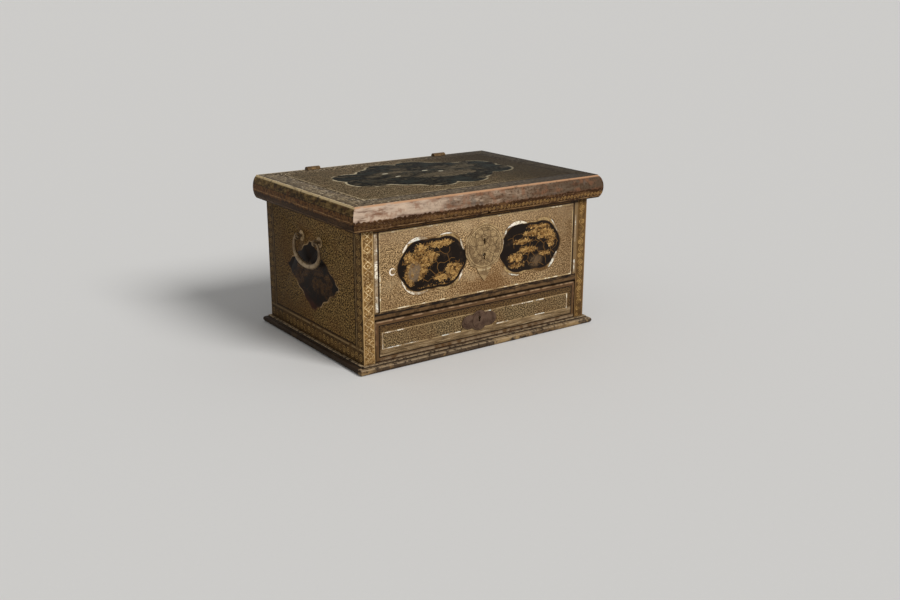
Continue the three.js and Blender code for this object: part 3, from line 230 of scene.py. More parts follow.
class Paint:
    """A material painted with sums of the object's own coordinates, in millimetres."""

    def __init__(self, name):
        self.material = bpy.data.materials.new(name)
        self.material.use_nodes = True
        self.nodes = self.material.node_tree.nodes
        self.links = self.material.node_tree.links
        self.shader = self.nodes["Principled BSDF"]
        coordinates = self.nodes.new("ShaderNodeTexCoord")
        scale = self.nodes.new("ShaderNodeVectorMath")
        scale.operation = "SCALE"
        scale.inputs["Scale"].default_value = 1 / MM
        self.links.new(coordinates.outputs["Object"], scale.inputs[0])
        self.place = scale.outputs[0]
        self.x, self.y, self.z = self.split(self.place)
        own = bpy.context.scene.chest_lacquer
        self.gold, self.deep_gold, self.black = rgba(own.gold), rgba(own.deep_gold), rgba(own.black)
        self.pitch = own.pitch / MM

    def plug(self, value, slot):
        if isinstance(value, Field):
            self.links.new(value.socket, slot)
        elif isinstance(value, bpy.types.NodeSocket):
            self.links.new(value, slot)
        elif isinstance(value, tuple) and len(value) == 3:
            slot.default_value = screen(*value)
        elif value is not None:
            slot.default_value = value

    def split(self, vector):
        node = self.nodes.new("ShaderNodeSeparateXYZ")
        self.links.new(vector, node.inputs[0])
        return [Field(self, output) for output in node.outputs]

    def vector(self, at):
        """The place that a pattern is read at: the surface's own, or one of two or three sums."""
        if at is None:
            return self.place
        node = self.nodes.new("ShaderNodeCombineXYZ")
        for slot, value in zip(node.inputs, at):
            self.plug(value, slot)
        return node.outputs[0]

    def noise(self, size, at=None, detail=3, roughness=0.55, distortion=0):
        """Soft clouds whose lumps are about that many millimetres across."""
        node = self.nodes.new("ShaderNodeTexNoise")
        self.links.new(self.vector(at), node.inputs["Vector"])
        node.inputs["Scale"].default_value = 1 / size
        node.inputs["Detail"].default_value = detail
        node.inputs["Roughness"].default_value = roughness
        node.inputs["Distortion"].default_value = distortion
        return Field(self, node.outputs["Fac"])

    def cells(self, size, at, randomness=1, feature="F1"):
        """Scattered flat cells: distance, two random numbers, and the place of the middle."""
        node = self.nodes.new("ShaderNodeTexVoronoi")
        node.voronoi_dimensions = "2D"
        node.feature = feature
        self.links.new(self.vector(at), node.inputs["Vector"])
        node.inputs["Scale"].default_value = 1 / size
        node.inputs["Randomness"].default_value = randomness
        distance = Field(self, node.outputs["Distance"])
        if feature == "DISTANCE_TO_EDGE":
            return distance
        chance, other_chance, _ = self.split(node.outputs["Color"])
        across, up, _ = self.split(node.outputs["Position"])
        return distance, chance, other_chance, across, up

    def mix(self, factor, first, second):
        node = self.nodes.new("ShaderNodeMix")
        node.data_type = "RGBA"
        self.plug(factor, node.inputs[0])
        self.plug(first, node.inputs[6])
        self.plug(second, node.inputs[7])
        return node.outputs[2]

    def layer(self, base, *coats):
        """Coats of colour over a base: each is a mask and a colour."""
        for mask, colour in coats:
            base = self.mix(mask, base, colour)
        return base

    def finish(self, colour, roughness, height=None, depth=0.3, metallic=None, shine=0.1, shown=None):
        """Plugs the sums into the shader. depth is in mm; where shown is 0 the lacquer is plain and flat."""
        if shown is not None:
            colour = self.mix(shown, plain_lacquer(self), colour)
            height = height * shown
        self.plug(colour, self.shader.inputs["Base Color"])
        self.plug(roughness, self.shader.inputs["Roughness"])
        self.plug(metallic, self.shader.inputs["Metallic"])
        self.shader.inputs["Specular IOR Level"].default_value = shine
        if height is not None:
            bump = self.nodes.new("ShaderNodeBump")
            bump.inputs["Distance"].default_value = depth * MM
            bump.inputs["Strength"].default_value = 0.8
            self.plug(height, bump.inputs["Height"])
            self.links.new(bump.outputs[0], self.shader.inputs["Normal"])
        return self.material


# Patterns


def length(u, v):
    return (u * u + v * v).math("SQRT")


def lobes(u, v, rounds, melt):
    """Distance in mm to the outline of round lobes melted together, below 0 inside."""
    outline = None
    for middle_u, middle_v, radius in rounds:
        reach = length(u - middle_u, v - middle_v) - radius
        outline = reach if outline is None else outline.math("SMOOTH_MIN", reach, melt)
    return outline


def ray_skin(paint, u, v, nodule, lacquer, pitch, offset=0):
    """Ground ray skin: pale nodules of mixed sizes, flush in dark lacquer. Gives colour and height."""
    place = (u + offset, v)
    distance, chance, other, _, _ = paint.cells(pitch, place, randomness=0.9)
    disc = (distance - chance * 0.16).rise(0.46, 0.26)
    mottle = paint.noise(pitch * 0.9, place, detail=2, roughness=0.75)
    pale = paint.mix(other.rise(0.1, 0.9), nodule, toned(nodule, 0.6))
    skin = paint.mix(disc, lacquer, pale)
    skin = paint.mix(mottle.rise(0.5, 0.4) * 0.9, skin, toned(lacquer, 0.35))
    return paint.mix(mottle.rise(0.53, 0.61) * 0.9, skin, toned(nodule, 1.55)), disc


def florets(paint, u, v, pitch, petals, keep):
    """Flower heads on scattered places. keep says at a flower's middle whether it is there."""
    _, chance, _, middle_u, middle_v = paint.cells(pitch, (u, v), randomness=0.7)
    across, up = u - middle_u, v - middle_v
    radius = length(across, up)
    turn = up.math("ARCTAN2", across) * petals + chance * math.tau
    edge = (turn.cosine() * 0.16 + 0.84) * (pitch * 0.47)
    shape = (edge - radius).rise(0, 0.45) * keep(middle_u, middle_v)
    folds = (turn.cosine() * 0.5 + 0.5).rise(0.02, 0.5) * radius.rise(pitch * 0.09, pitch * 0.14)
    return shape, folds, chance


def leaves(paint, u, v, pitch, keep, slim):
    """Pointed leaves, each turned its own way."""
    u, v = u + LEAF_SHIFT[0], v + LEAF_SHIFT[1]
    _, chance, other, middle_u, middle_v = paint.cells(pitch, (u, v), randomness=0.9)
    across, up = u - middle_u, v - middle_v
    cosine, sine = (chance * math.tau).cosine(), (chance * math.tau).sine()
    along = (across * cosine + up * sine) / (pitch * 0.52)
    aside = (up * cosine - across * sine) / (pitch * slim)
    shape = (1 - along * along - abs(aside)).rise(0, 0.18)
    vein = abs(aside).rise(0.04, 0.14)
    return shape * keep(middle_u - LEAF_SHIFT[0], middle_v - LEAF_SHIFT[1]), vein, other


def clumps(ovals):
    """A test that is 1 at places inside any of the ovals."""
    def keep(u, v):
        result = None
        for middle_u, middle_v, half_u, half_v in ovals:
            across, up = (u - middle_u) / half_u, (v - middle_v) / half_v
            inside = 1 - across * across - up * up
            result = inside if result is None else result.most(inside)
        return result.rise(-0.02, 0.02)
    return keep


def vine(along, across, pitch, half_width, line=0.9):
    """A running scroll: a waved stem with a curl in each bend."""
    wave = (along * (math.tau / pitch)).sine()
    stem = abs(across - wave * (half_width * 0.62)).rise(line, line * 0.4)
    curls = None
    for shift, hand in ((0.25, -1), (0.75, 1)):
        radius = length((along - pitch * shift).repeat(pitch), across - hand * half_width * 0.28)
        ring = abs(radius - half_width * 0.42).rise(line, line * 0.4)
        curl = ring.most(radius.rise(half_width * 0.2, half_width * 0.12))
        curls = curl if curls is None else curls.most(curl)
    return stem.most(curls)


def lattice(along, across, pitch, half_width, line):
    """Crossed zigzags with a dot in each diamond."""
    zigzag = abs(along.repeat(pitch)) * (4 * half_width / pitch) - half_width
    crossed = abs(abs(across) - abs(zigzag)).rise(line, line * 0.4)
    dot = length(along.repeat(pitch / 2), across).rise(1.5, 0.9)
    return crossed.most(dot)


def gold_sprays(paint, u, v, flower_ovals, leaf_ovals, stem_ovals, gold, deep_gold):
    """Banks of gold flowers, leaves and stems. Gives the mask, the colour and the height."""
    ragged = paint.noise(5, (u, v, 21), detail=5, roughness=0.7)
    teeth = (paint.noise(2.6, (u, v, 44), detail=2) - 0.5) * 15
    drift_u, drift_v = u + (ragged - 0.5) * 22 + teeth, v + (ragged - 0.5) * 16 - teeth
    shade = paint.noise(8, (u * 0.8, v * 1.4, 5), detail=4, roughness=0.65)
    bank = clumps(leaf_ovals + flower_ovals)(drift_u, drift_v) * shade.rise(0.33, 0.38)
    shape, folds, chance = florets(paint, u, v, 6.4, 9, clumps(flower_ovals))
    shape = shape * chance.rise(0.45, 0.5)
    leaf, vein, other = leaves(paint, u, v, 5.6, clumps(leaf_ovals + flower_ovals), 0.2)
    warp = paint.noise(16, (u, v), detail=1) * 14
    stems = paint.cells(15, (u + warp, v - warp), feature="DISTANCE_TO_EDGE").rise(0.05, 0.02)
    stems = stems * clumps(stem_ovals)(u, v)
    folds_dark = paint.cells(3.4, (u + teeth, v), feature="DISTANCE_TO_EDGE").rise(0.13, 0.04)
    dark = toned(deep_gold, 0.3)
    bright = paint.mix(shade.rise(0.5, 0.62), deep_gold, gold)
    wash = paint.mix(shade.rise(0.38, 0.48), dark, bright)
    tone = paint.layer(
        wash,
        (folds_dark * 0.75, dark),
        (stems * (1 - bank), deep_gold),
        (leaf * 0.7, paint.mix(vein * (other * 0.5 + 0.5), dark, gold)),
        (shape, paint.mix(folds * (chance * 0.5 + 0.5), dark, gold)),
    )
    mask = (bank * (0.92 - folds_dark * 0.4)).most(shape).most(leaf * 0.8).most(stems * 0.6)
    height = shape * (folds * 0.5 + 0.5) + leaf * vein * 0.4 + bank * shade * 0.5
    return mask, tone, height


def pearl_tone(paint):
    """Shell pieces: cream with faint pink and green, each piece its own shade."""
    shade = paint.noise(7, detail=2)
    drift = paint.noise(22, detail=1)
    tone = paint.mix(drift.rise(0.4, 0.62), (234, 222, 198), (214, 214, 200))
    return paint.mix(shade.rise(0.45, 0.7), tone, (240, 226, 214))


# Settings


class ChestLacquer(bpy.types.PropertyGroup):
    """Colours and scale of the lacquer work."""

    nodule: bpy.props.FloatVectorProperty(
        name="Ray-skin nodules", description="Pale discs in the speckled ground", subtype="COLOR",
        size=3, min=0, max=1, default=screen(190, 158, 114)[:3])
    lacquer: bpy.props.FloatVectorProperty(
        name="Ground lacquer", description="Dark lacquer between the nodules", subtype="COLOR",
        size=3, min=0, max=1, default=screen(92, 66, 34)[:3])
    gold: bpy.props.FloatVectorProperty(
        name="Gold", description="Sprinkled gold of the flowers and borders", subtype="COLOR",
        size=3, min=0, max=1, default=screen(204, 162, 98)[:3])
    deep_gold: bpy.props.FloatVectorProperty(
        name="Deep gold", description="Gold in the folds and worn places", subtype="COLOR",
        size=3, min=0, max=1, default=screen(132, 94, 48)[:3])
    black: bpy.props.FloatVectorProperty(
        name="Black lacquer", description="Reserves, bands and the back", subtype="COLOR",
        size=3, min=0, max=1, default=screen(22, 14, 8)[:3])
    pitch: bpy.props.FloatProperty(
        name="Nodule pitch", description="Distance between nodules of the ray skin", subtype="DISTANCE",
        unit="LENGTH", default=2.2 * MM, min=MM, max=6 * MM)


class ChestStage(bpy.types.PropertyGroup):
    """Floor, light and camera."""

    floor: bpy.props.FloatVectorProperty(
        name="Floor", description="Colour of the floor and the background", subtype="COLOR",
        size=3, min=0, max=1, default=(0.74, 0.73, 0.71))
    sun_strength: bpy.props.FloatProperty(
        name="Key light", description="Strength of the soft key light", default=2.6, min=0)
    world_strength: bpy.props.FloatProperty(
        name="Surrounding light", description="Strength of the even light all round", default=0.33, min=0)
    backdrop_strength: bpy.props.FloatProperty(
        name="Background", description="How bright the space beyond the floor looks", default=0.6, min=0)
    lens: bpy.props.FloatProperty(
        name="Lens", description="Focal length on a 36 mm wide sensor", unit="CAMERA", default=41.46, min=1)


# Meshes


def body_of(node):
    for body, nodes in frame["record"]["behaviour"]["bodies"].items():
        if node in nodes:
            return body
    raise RuntimeError(f"no body holds {node}")


def only(piece):
    """Leaves one object selected and active."""
    bpy.ops.object.select_all(action="DESELECT")
    piece.select_set(True)
    bpy.context.view_layer.objects.active = piece


def ease_edges(piece, width, angle):
    """Rounds the sharp edges of the active object."""
    ease = piece.modifiers.new("ease", "BEVEL")
    ease.width = width * MM
    ease.segments = 2
    ease.limit_method = "ANGLE"
    ease.angle_limit = math.radians(angle)
    bpy.ops.object.modifier_apply(modifier="ease")


def eased_copy(node, width, material, angle=32, levels=0):
    """A copy of a CAD node with merged faces and eased edges, which stands for it."""
    mesh = frame["nodes"][node].data.copy()
    piece = bpy.data.objects.new(f"{node}_finished", mesh)
    bpy.context.scene.collection.objects.link(piece)
    only(piece)
    bpy.ops.object.mode_set(mode="EDIT")
    bpy.ops.mesh.select_all(action="SELECT")
    bpy.ops.mesh.remove_doubles(threshold=MERGE_DISTANCE)
    bpy.ops.mesh.dissolve_limited(angle_limit=math.radians(FLAT_ANGLE))
    bpy.ops.object.mode_set(mode="OBJECT")
    if levels:
        smooth = piece.modifiers.new("smooth", "SUBSURF")
        smooth.levels = smooth.render_levels = levels
        bpy.ops.object.modifier_apply(modifier="smooth")
    if width:
        ease_edges(piece, width, angle)
    bpy.ops.object.shade_smooth_by_angle(angle=math.radians(angle))
    mesh.materials.clear()
    mesh.materials.append(material)
    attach(piece, body_of(node))
    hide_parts(node)
    return piece


def primitive(kind, **how):
    """A new primitive, with nothing else selected."""
    bpy.ops.object.select_all(action="DESELECT")
    getattr(bpy.ops.mesh, f"primitive_{kind}_add")(**how)
    return bpy.context.object


def settle(piece):
    """Moves an object's place, turn and scale into its mesh."""
    only(piece)
    bpy.ops.object.transform_apply(location=True, rotation=True, scale=True)
    return piece


def joined(name, pieces, material, body):
    """One object of several, with a material, that moves with a body."""
    bpy.ops.object.select_all(action="DESELECT")
    for piece in pieces:
        piece.select_set(True)
    bpy.context.view_layer.objects.active = pieces[0]
    bpy.ops.object.join()
    whole = bpy.context.object
    whole.name = name
    only(whole)
    bpy.ops.object.mode_set(mode="EDIT")
    bpy.ops.mesh.select_all(action="SELECT")
    bpy.ops.mesh.normals_make_consistent(inside=False)
    bpy.ops.object.mode_set(mode="OBJECT")
    bpy.ops.object.shade_smooth_by_angle(angle=math.radians(ORNAMENT_SMOOTH_ANGLE))
    whole.data.materials.clear()
    whole.data.materials.append(material)
    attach(whole, body)
    return whole


def thin_strip(piece):
    """Finishes a strip of shell with eased edges."""
    only(piece)
    ease_edges(piece, width=0.12, angle=50)
    return piece


def bars(rows):
    """Thin straight strips on the front, each from x to x and from z to z, in mm."""
    made = []
    for left, right, bottom, top in rows:
        middle = Vector(((left + right) / 2, INLAY_MIDDLE, (bottom + top) / 2)) * MM
        size = Vector((right - left, INLAY_DEPTH, top - bottom)) * MM
        made.append(thin_strip(settle(primitive("cube", size=1, location=middle, scale=size))))
    return made


def arc_strip(middle_x, middle_z, radius, start, sweep, width):
    """A crescent on the front along a round lobe's rim; angles in degrees from +X towards +Z."""
    angle = math.radians(start)
    centre = Vector((middle_x, INLAY_MIDDLE, middle_z)) * MM
    first = centre + Vector((math.cos(angle), 0, math.sin(angle))) * radius * MM
    piece = primitive("plane", size=1, rotation=(0, -angle, 0), location=first)
    piece.scale = (width * MM, INLAY_DEPTH * MM, 1)
    settle(piece)
    bpy.ops.object.mode_set(mode="EDIT")
    bpy.ops.mesh.select_all(action="SELECT")
    steps = max(4, round(sweep / ARC_STEP))
    bpy.ops.mesh.spin(steps=steps, angle=math.radians(sweep), center=centre, axis=(0, 1, 0))
    bpy.ops.mesh.select_all(action="SELECT")
    bpy.ops.mesh.fill_holes(sides=4)
    bpy.ops.mesh.normals_make_consistent(inside=False)
    mesh = bmesh.from_edit_mesh(piece.data)
    for step in range(steps + 1):
        turned = math.radians(start + sweep * step / steps)
        outward = Vector((math.cos(turned), 0, math.sin(turned)))
        rim = centre + outward * (radius + width / 2) * MM
        across = outward.cross(Vector((0, 1, 0)))
        for vertex in mesh.verts:
            off = vertex.co - rim
            vertex.select = abs(off.dot(across)) < 0.1 * MM and off.length < 1.2 * width * MM
        bmesh.update_edit_mesh(piece.data)
        share = ARC_TIP + (1 - ARC_TIP) * math.sin(math.pi * step / steps) ** 0.8
        bpy.ops.transform.resize(value=(share, 1, share), center_override=rim)
    bpy.ops.object.mode_set(mode="OBJECT")
    return thin_strip(piece)


def low_relief(vertices, radius, lift, slim=1, notch=None):
    """A disc that faces -Y, raised in the middle: slim for a leaf, with a notched rim for a flower."""
    piece = primitive(
        "circle", vertices=vertices, radius=radius * MM, fill_type="TRIFAN", rotation=(math.pi / 2, 0, 0))
    piece.scale = (1, slim, 1)
    settle(piece)
    bpy.ops.object.mode_set(mode="EDIT")
    mesh = bmesh.from_edit_mesh(piece.data)
    if notch:
        bpy.ops.mesh.select_all(action="DESELECT")
        rim = [vertex for vertex in mesh.verts if vertex.co.length > radius / 2 * MM]
        for index, vertex in enumerate(rim):
            vertex.select = index % POINTS_PER_PETAL == 0
        bmesh.update_edit_mesh(piece.data)
        bpy.ops.transform.resize(value=(notch, notch, notch), center_override=(0, 0, 0))
    bpy.ops.mesh.select_all(action="DESELECT")
    for vertex in mesh.verts:
        vertex.select = vertex.co.length < radius / 10 * MM
    bmesh.update_edit_mesh(piece.data)
    bpy.ops.transform.translate(value=(0, -lift * MM, 0))
    bpy.ops.mesh.select_all(action="SELECT")
    bpy.ops.mesh.extrude_region_move(TRANSFORM_OT_translate={"value": (0, GOLD_THICKNESS * MM, 0)})
    bpy.ops.object.mode_set(mode="OBJECT")
    return piece


def flower_head(petals, radius, lift):
    return low_relief(petals * POINTS_PER_PETAL, radius, lift, notch=0.68)


def leaf_blade(span, slim):
    return low_relief(10, span / 2, 0.35, slim)


def copies(pattern, places):
    """Copies of a small piece: places are (x, y, z) in mm, a turn about Y in degrees and a scale."""
    made = []
    for place, turn, scale in places:
        piece = bpy.data.objects.new(pattern.name, pattern.data.copy())
        bpy.context.scene.collection.objects.link(piece)
        piece.location = Vector(place) * MM
        piece.rotation_euler = (0, math.radians(turn), 0)
        piece.scale = (scale, scale, scale)
        made.append(settle(piece))
    bpy.data.objects.remove(pattern, do_unlink=True)
    return made


def nail(radius):
    """A low domed nail head that faces -Y."""
    piece = primitive("uv_sphere", segments=12, ring_count=6, radius=radius * MM)
    piece.scale = (1, 0.5, 1)
    return settle(piece)


def in_lobes(u, v, rounds, margin):
    """Whether a place is inside a reserve by that margin."""
    return any(math.hypot(abs(u) - a, abs(v) - b) < radius - margin for a, b, radius in rounds)


def scattered(ovals, middle_x, tries, apart, chance, margin):
    """Places in ovals on the front that keep inside a reserve and apart from each other."""
    places = []
    for oval_x, oval_z, half_u, half_v in ovals:
        for _ in range(tries):
            angle, far = chance.uniform(0, math.tau), math.sqrt(chance.random())
            x, z = oval_x + math.cos(angle) * far * half_u, oval_z + math.sin(angle) * far * half_v
            clear = all(math.hypot(x - other[0][0], z - other[0][2]) > apart for other in places)
            if clear and in_lobes(x - middle_x - RESERVE_SHIFT, z - RESERVE_Z, RESERVE_LOBES, margin):
                place = (x, INLAY_Y + GOLD_DEPTH, z)
                places.append((place, chance.uniform(0, 360), chance.uniform(0.75, 1.2)))
    return places


def dress(nodes, material, width, **how):
    """Stands an eased copy in for each node."""
    for node in nodes:
        eased_copy(node, width, material, **how)


# Lacquer


def stains(paint, base, size=70, strength=0.35):
    """Slow change of tone, as old lacquer has."""
    cloud = paint.noise(size, detail=2).rise(0.38, 0.7) * strength
    return paint.mix(cloud, base, (104, 68, 34))


def plain_lacquer(paint):
    """Dull dark brown, for the faces that look inwards."""
    cloud = paint.noise(24, detail=4)
    grain = paint.noise(5, (paint.x * 0.05, paint.y * 0.6, paint.z), detail=4)
    plain = paint.mix(cloud.rise(0.42, 0.7) * 0.6, (50, 33, 21), (78, 54, 36))
    return paint.mix(grain.rise(0.5, 0.7) * 0.4, plain, (84, 60, 42))


def front_lacquer():
    """Chest front: ray skin, two lobed black reserves with gold, and dark edges."""
    paint = Paint("front_lacquer")
    x, z = paint.x, paint.z
    own = bpy.context.scene.chest_lacquer
    ground, nodules = ray_skin(paint, x, z, rgba(own.nodule), rgba(own.lacquer), paint.pitch)
    ground = stains(paint, ground)
    rubbed = paint.noise(38, (x, z, 77))
    low = z.rise(150, 106) * abs(x - 12).rise(110, 20) * 0.55
    ground = paint.layer(
        ground,
        (low, (100, 66, 32)),
        (rubbed.rise(0.5, 0.68) * 0.35, (176, 152, 116)),
        # painted light: lighter towards the top
        (z.rise(180, 216) * 0.3, (176, 150, 116)),
        # painted shade: darker towards the right
        (x.rise(20, 220) * 0.5, (82, 58, 33)),
        (x.rise(-60, -190) * 0.16, (82, 60, 34)),
    )
    u, v = abs(x - RESERVE_SHIFT) - RESERVE_X, z - RESERVE_Z
    outline = lobes(abs(u), abs(v), RESERVE_LOBES, 3)
    inner = lobes(abs(u), abs(v), FIELD_LOBES, 5)
    wear = paint.noise(16, detail=4)
    flowers = ((-103, 163, 11, 9), (-120, 183, 12, 7), (-144, 172, 7, 9), (-56, 142, 16, 10),
               (-80, 186, 16, 5), (70, 140, 16, 8), (132, 174, 19, 9), (104, 190, 11, 4))
    sprays = ((-140, 142, 9, 20), (-114, 168, 28, 11), (-122, 148, 14, 14), (-84, 187, 26, 5),
              (-80, 131, 16, 6), (-50, 128, 14, 5), (-92, 118, 34, 3), (84, 166, 20, 4), (112, 178, 26, 5),
              (126, 188, 20, 4), (146, 164, 9, 15), (96, 151, 20, 5), (72, 127, 18, 4), (134, 140, 13, 4))
    branches = ((-104, 160, 50, 32), (-58, 140, 24, 18), (122, 152, 42, 34), (80, 168, 30, 12))
    mask, tone, relief = gold_sprays(paint, x, z, flowers, sprays, branches, paint.gold, paint.deep_gold)
    worn = wear.rise(0.6, 0.74) * 0.6
    inside = inner.rise(0.4, -0.4)
    haze = paint.noise(9, (x * 1.6, z, 4), detail=4).rise(0.34, 0.56)
    reserve = paint.layer(
        paint.black,
        (wear.rise(0.52, 0.75) * 0.35, (78, 58, 38)),
        (mask * inner.rise(-2.2, -4.2) * (1 - worn), tone),
        (length(x + 131, (z - 148) * 0.8).rise(15, 9) * haze * 0.85, (116, 98, 78)),
        (length(x - 112, (z - 130) * 1.6).rise(20, 10) * haze * 0.7, (108, 86, 62)),
    )
    joints = paint.noise(26, (x, z, 9), detail=1)
    streaks = paint.noise(3, (x, z, 60))
    rim = outline.rise(0.5, 0.1)
    rim_tone = paint.layer(
        paint.mix(joints.rise(0.4, 0.56), (104, 76, 42), (168, 140, 96)),
        (streaks.rise(0.46, 0.62) * 0.7, (70, 48, 26)),
        (inner.rise(1.4, 0.6), (60, 42, 24)),
    )
    line_break = paint.noise(30, (x, z, 40), detail=2)
    edge_x = abs(x)
    uprights = edge_x.line(FRAME_X, 1.5) * z.rise(92.5, 93.5) * z.rise(218, 217)
    levels = z.line(FRAME_TOP, 1.5).most(z.line(FRAME_BOTTOM, 1.5)) * edge_x.rise(194.4, 193.8)
    frame_line = uprights.most(levels)
    height = nodules * 0.1 * (1 - rim) + inside * relief * mask + rim * (1 - inside) * 0.3
    colour = paint.layer(
        ground,
        (outline.band(0.6, 1.8) * 0.55, (92, 66, 38)),
        (rim, rim_tone),
        (inside, reserve),
        (frame_line * line_break.rise(0.3, 0.46) * 0.75, (190, 164, 120)),
        (frame_line * line_break.rise(0.54, 0.6) * streaks.rise(0.4, 0.5), (244, 228, 196)),
        (edge_x.band(194.5, 198), paint.mix(wear.rise(0.5, 0.7), (44, 29, 15), (88, 66, 40))),
        (edge_x.band(198.2, 204.4), (122, 98, 66)),
        (z.rise(217.8, 218.8).most(z.rise(93.2, 92.5)) * 0.9, (44, 28, 16)),
        (z.line(221, 0.8) * line_break.rise(0.42, 0.5), paint.deep_gold),
    )
    shown = paint.y.rise(-156.5, -157.5)
    gloss = 0.5 - inside * 0.08 + wear * 0.16
    return paint.finish(colour, gloss, height, 0.35, metallic=inside * mask * shown * 0.3, shown=shown)


def side_lacquer():
    """Side boards: ray skin with a scalloped lozenge and scroll borders; their front ends are the posts."""
    paint = Paint("side_lacquer")
    x, y, z = paint.x, paint.y, paint.z
    # The side's ray skin is painted darker than the front's: partly its own tone, partly painted shade
    ground, nodules = ray_skin(paint, y, z, (146, 116, 68), (46, 29, 7), paint.pitch * 1.25, 60)
    ground = stains(paint, ground, 60, 0.4)
    # painted shade: darker towards the back
    ground = paint.layer(ground, (y.rise(-60, 140) * 0.5, (52, 36, 18)))
    wear = paint.noise(14, detail=4)
    u, v = y, z - y * 0.04 - SIDE_RESERVE_Z
    slope = 1 / math.hypot(1 / SIDE_HALF_DEPTH, 1 / SIDE_HALF_HEIGHT)
    scallops = ((abs(u) - abs(v)) * 0.17).cosine() * 1.5
    outline = (abs(u) / SIDE_HALF_DEPTH + abs(v) / SIDE_HALF_HEIGHT - 1) * slope + scallops
    outline = outline.most(abs(u) - SIDE_HALF_DEPTH + 3).most(abs(v) - SIDE_HALF_HEIGHT + 4)
    inside = outline.rise(0.3, -0.3)
    mask, tone, relief = gold_sprays(
        paint, y, z,
        ((-20, 108, 26, 12), (34, 124, 20, 12), (-52, 122, 16, 10)),
        ((0, 132, 40, 10), (50, 108, 20, 12), (-46, 104, 22, 12)),
        ((0, 118, 66, 32),), paint.deep_gold, (96, 64, 36))
    reserve = paint.layer(
        paint.black,
        (wear.rise(0.42, 0.72) * 0.5, (44, 27, 15)),
        (((z - y * 0.3) + wear * 30).rise(100, 80) * 0.65, (72, 38, 23)),
        (mask * wear.rise(0.66, 0.46) * 0.45, tone),
    )
    joints = paint.noise(30, (y, z, 5), detail=1)
    rim = outline.band(0.3, 2.2)
    inset = abs(y)
    end_scroll = vine(z, inset - SIDE_END_SCROLL, 26, 8) * inset.rise(139, 140) * z.rise(36, 38)
    foot_scroll = vine(y, z - SIDE_FOOT_SCROLL, 26, 8) * z.rise(33, 32) * inset.rise(158, 157)
    scroll = end_scroll.most(foot_scroll)
    in_border = inset.rise(136.4, 137.2).most(z.rise(40.2, 39.4))
    light_line = z.line(35.4, 3.4).most(inset.line(138.4, 1.6) * z.rise(36, 37))
    dark_ends = inset.line(135.2, 2.2) * z.rise(38.5, 39.5)
    dark_line = dark_ends.most(z.line(40.2, 2.2) * inset.rise(136, 135.5))
    panel = paint.layer(
        ground,
        (rim, paint.mix(joints.rise(0.46, 0.6), (84, 58, 34), (150, 124, 90))),
        (inside, reserve),
        (in_border, paint.mix(wear.rise(0.4, 0.64), (56, 38, 18), (84, 60, 32))),
        (in_border * scroll * wear.rise(0.7, 0.45) * 0.9, (186, 148, 90)),
        (in_border * nodules * 0.3, (130, 104, 66)),
        (light_line * wear.rise(0.66, 0.5) * 0.8, (150, 124, 86)),
        (dark_line * 0.9, (30, 18, 8)),
        # painted shade: the border darker towards the back
        (in_border * y.rise(40, 150) * 0.45, (38, 30, 22)),
        (z.rise(217, 219) * 0.8, (40, 26, 14)),
        (inset.rise(157.2, 158.8) * wear.rise(0.4, 0.6), (196, 160, 100)),
    )
    along, across = z - 118, abs(x) - POST_MIDDLE
    zigzag = lattice(along, across, 26, 7.6, 1)
    running = vine(along, across, 24, 7.6)
    left = x.rise(0.5, -0.5)
    post_wear = paint.noise(12, detail=4)
    post_grain = paint.noise(3)
    left_post = paint.layer(
        (138, 104, 58),
        (post_wear.rise(0.42, 0.62) * 0.85, (94, 66, 34)),
        (post_grain.rise(0.5, 0.62) * 0.65, (182, 152, 108)),
        (post_grain.rise(0.47, 0.38) * 0.75, (64, 41, 18)),
        (zigzag * post_wear.rise(0.66, 0.42) * post_grain.rise(0.36, 0.52) * (z.rise(0, 150) * 0.45 + 0.55),
         (230, 204, 156)),
        (abs(across).rise(8.2, 8.8), (184, 152, 104)),
        (abs(across).rise(9.4, 9.9) * 0.7, (86, 62, 36)),
    )
    right_post = paint.layer(
        (100, 74, 42),
        (post_wear.rise(0.44, 0.68) * 0.7, (72, 52, 32)),
        (running * post_wear.rise(0.66, 0.4), (178, 142, 86)),
        (abs(across).rise(8.2, 8.8), (126, 98, 64)),
    )
    post = paint.mix(left, right_post, left_post)
    is_front = y.rise(-158.6, -158.9)
    is_outer = abs(x).rise(224.4, 224.8)
    colour = paint.layer(plain_lacquer(paint), (is_outer, panel), (is_front, post))
    shown = is_outer.most(is_front)
    side_height = nodules * 0.12 * (1 - inside) + inside * mask * relief * 0.6 + scroll * in_border * 0.35
    height = side_height * is_outer + is_front * (zigzag * left * 0.4 + running * 0.3)
    gloss = 0.46 - inside * 0.1 + wear * 0.16 + (1 - shown) * 0.05
    return paint.finish(colour, gloss, height, 0.35, metallic=shown * 0.08, shine=0.03)


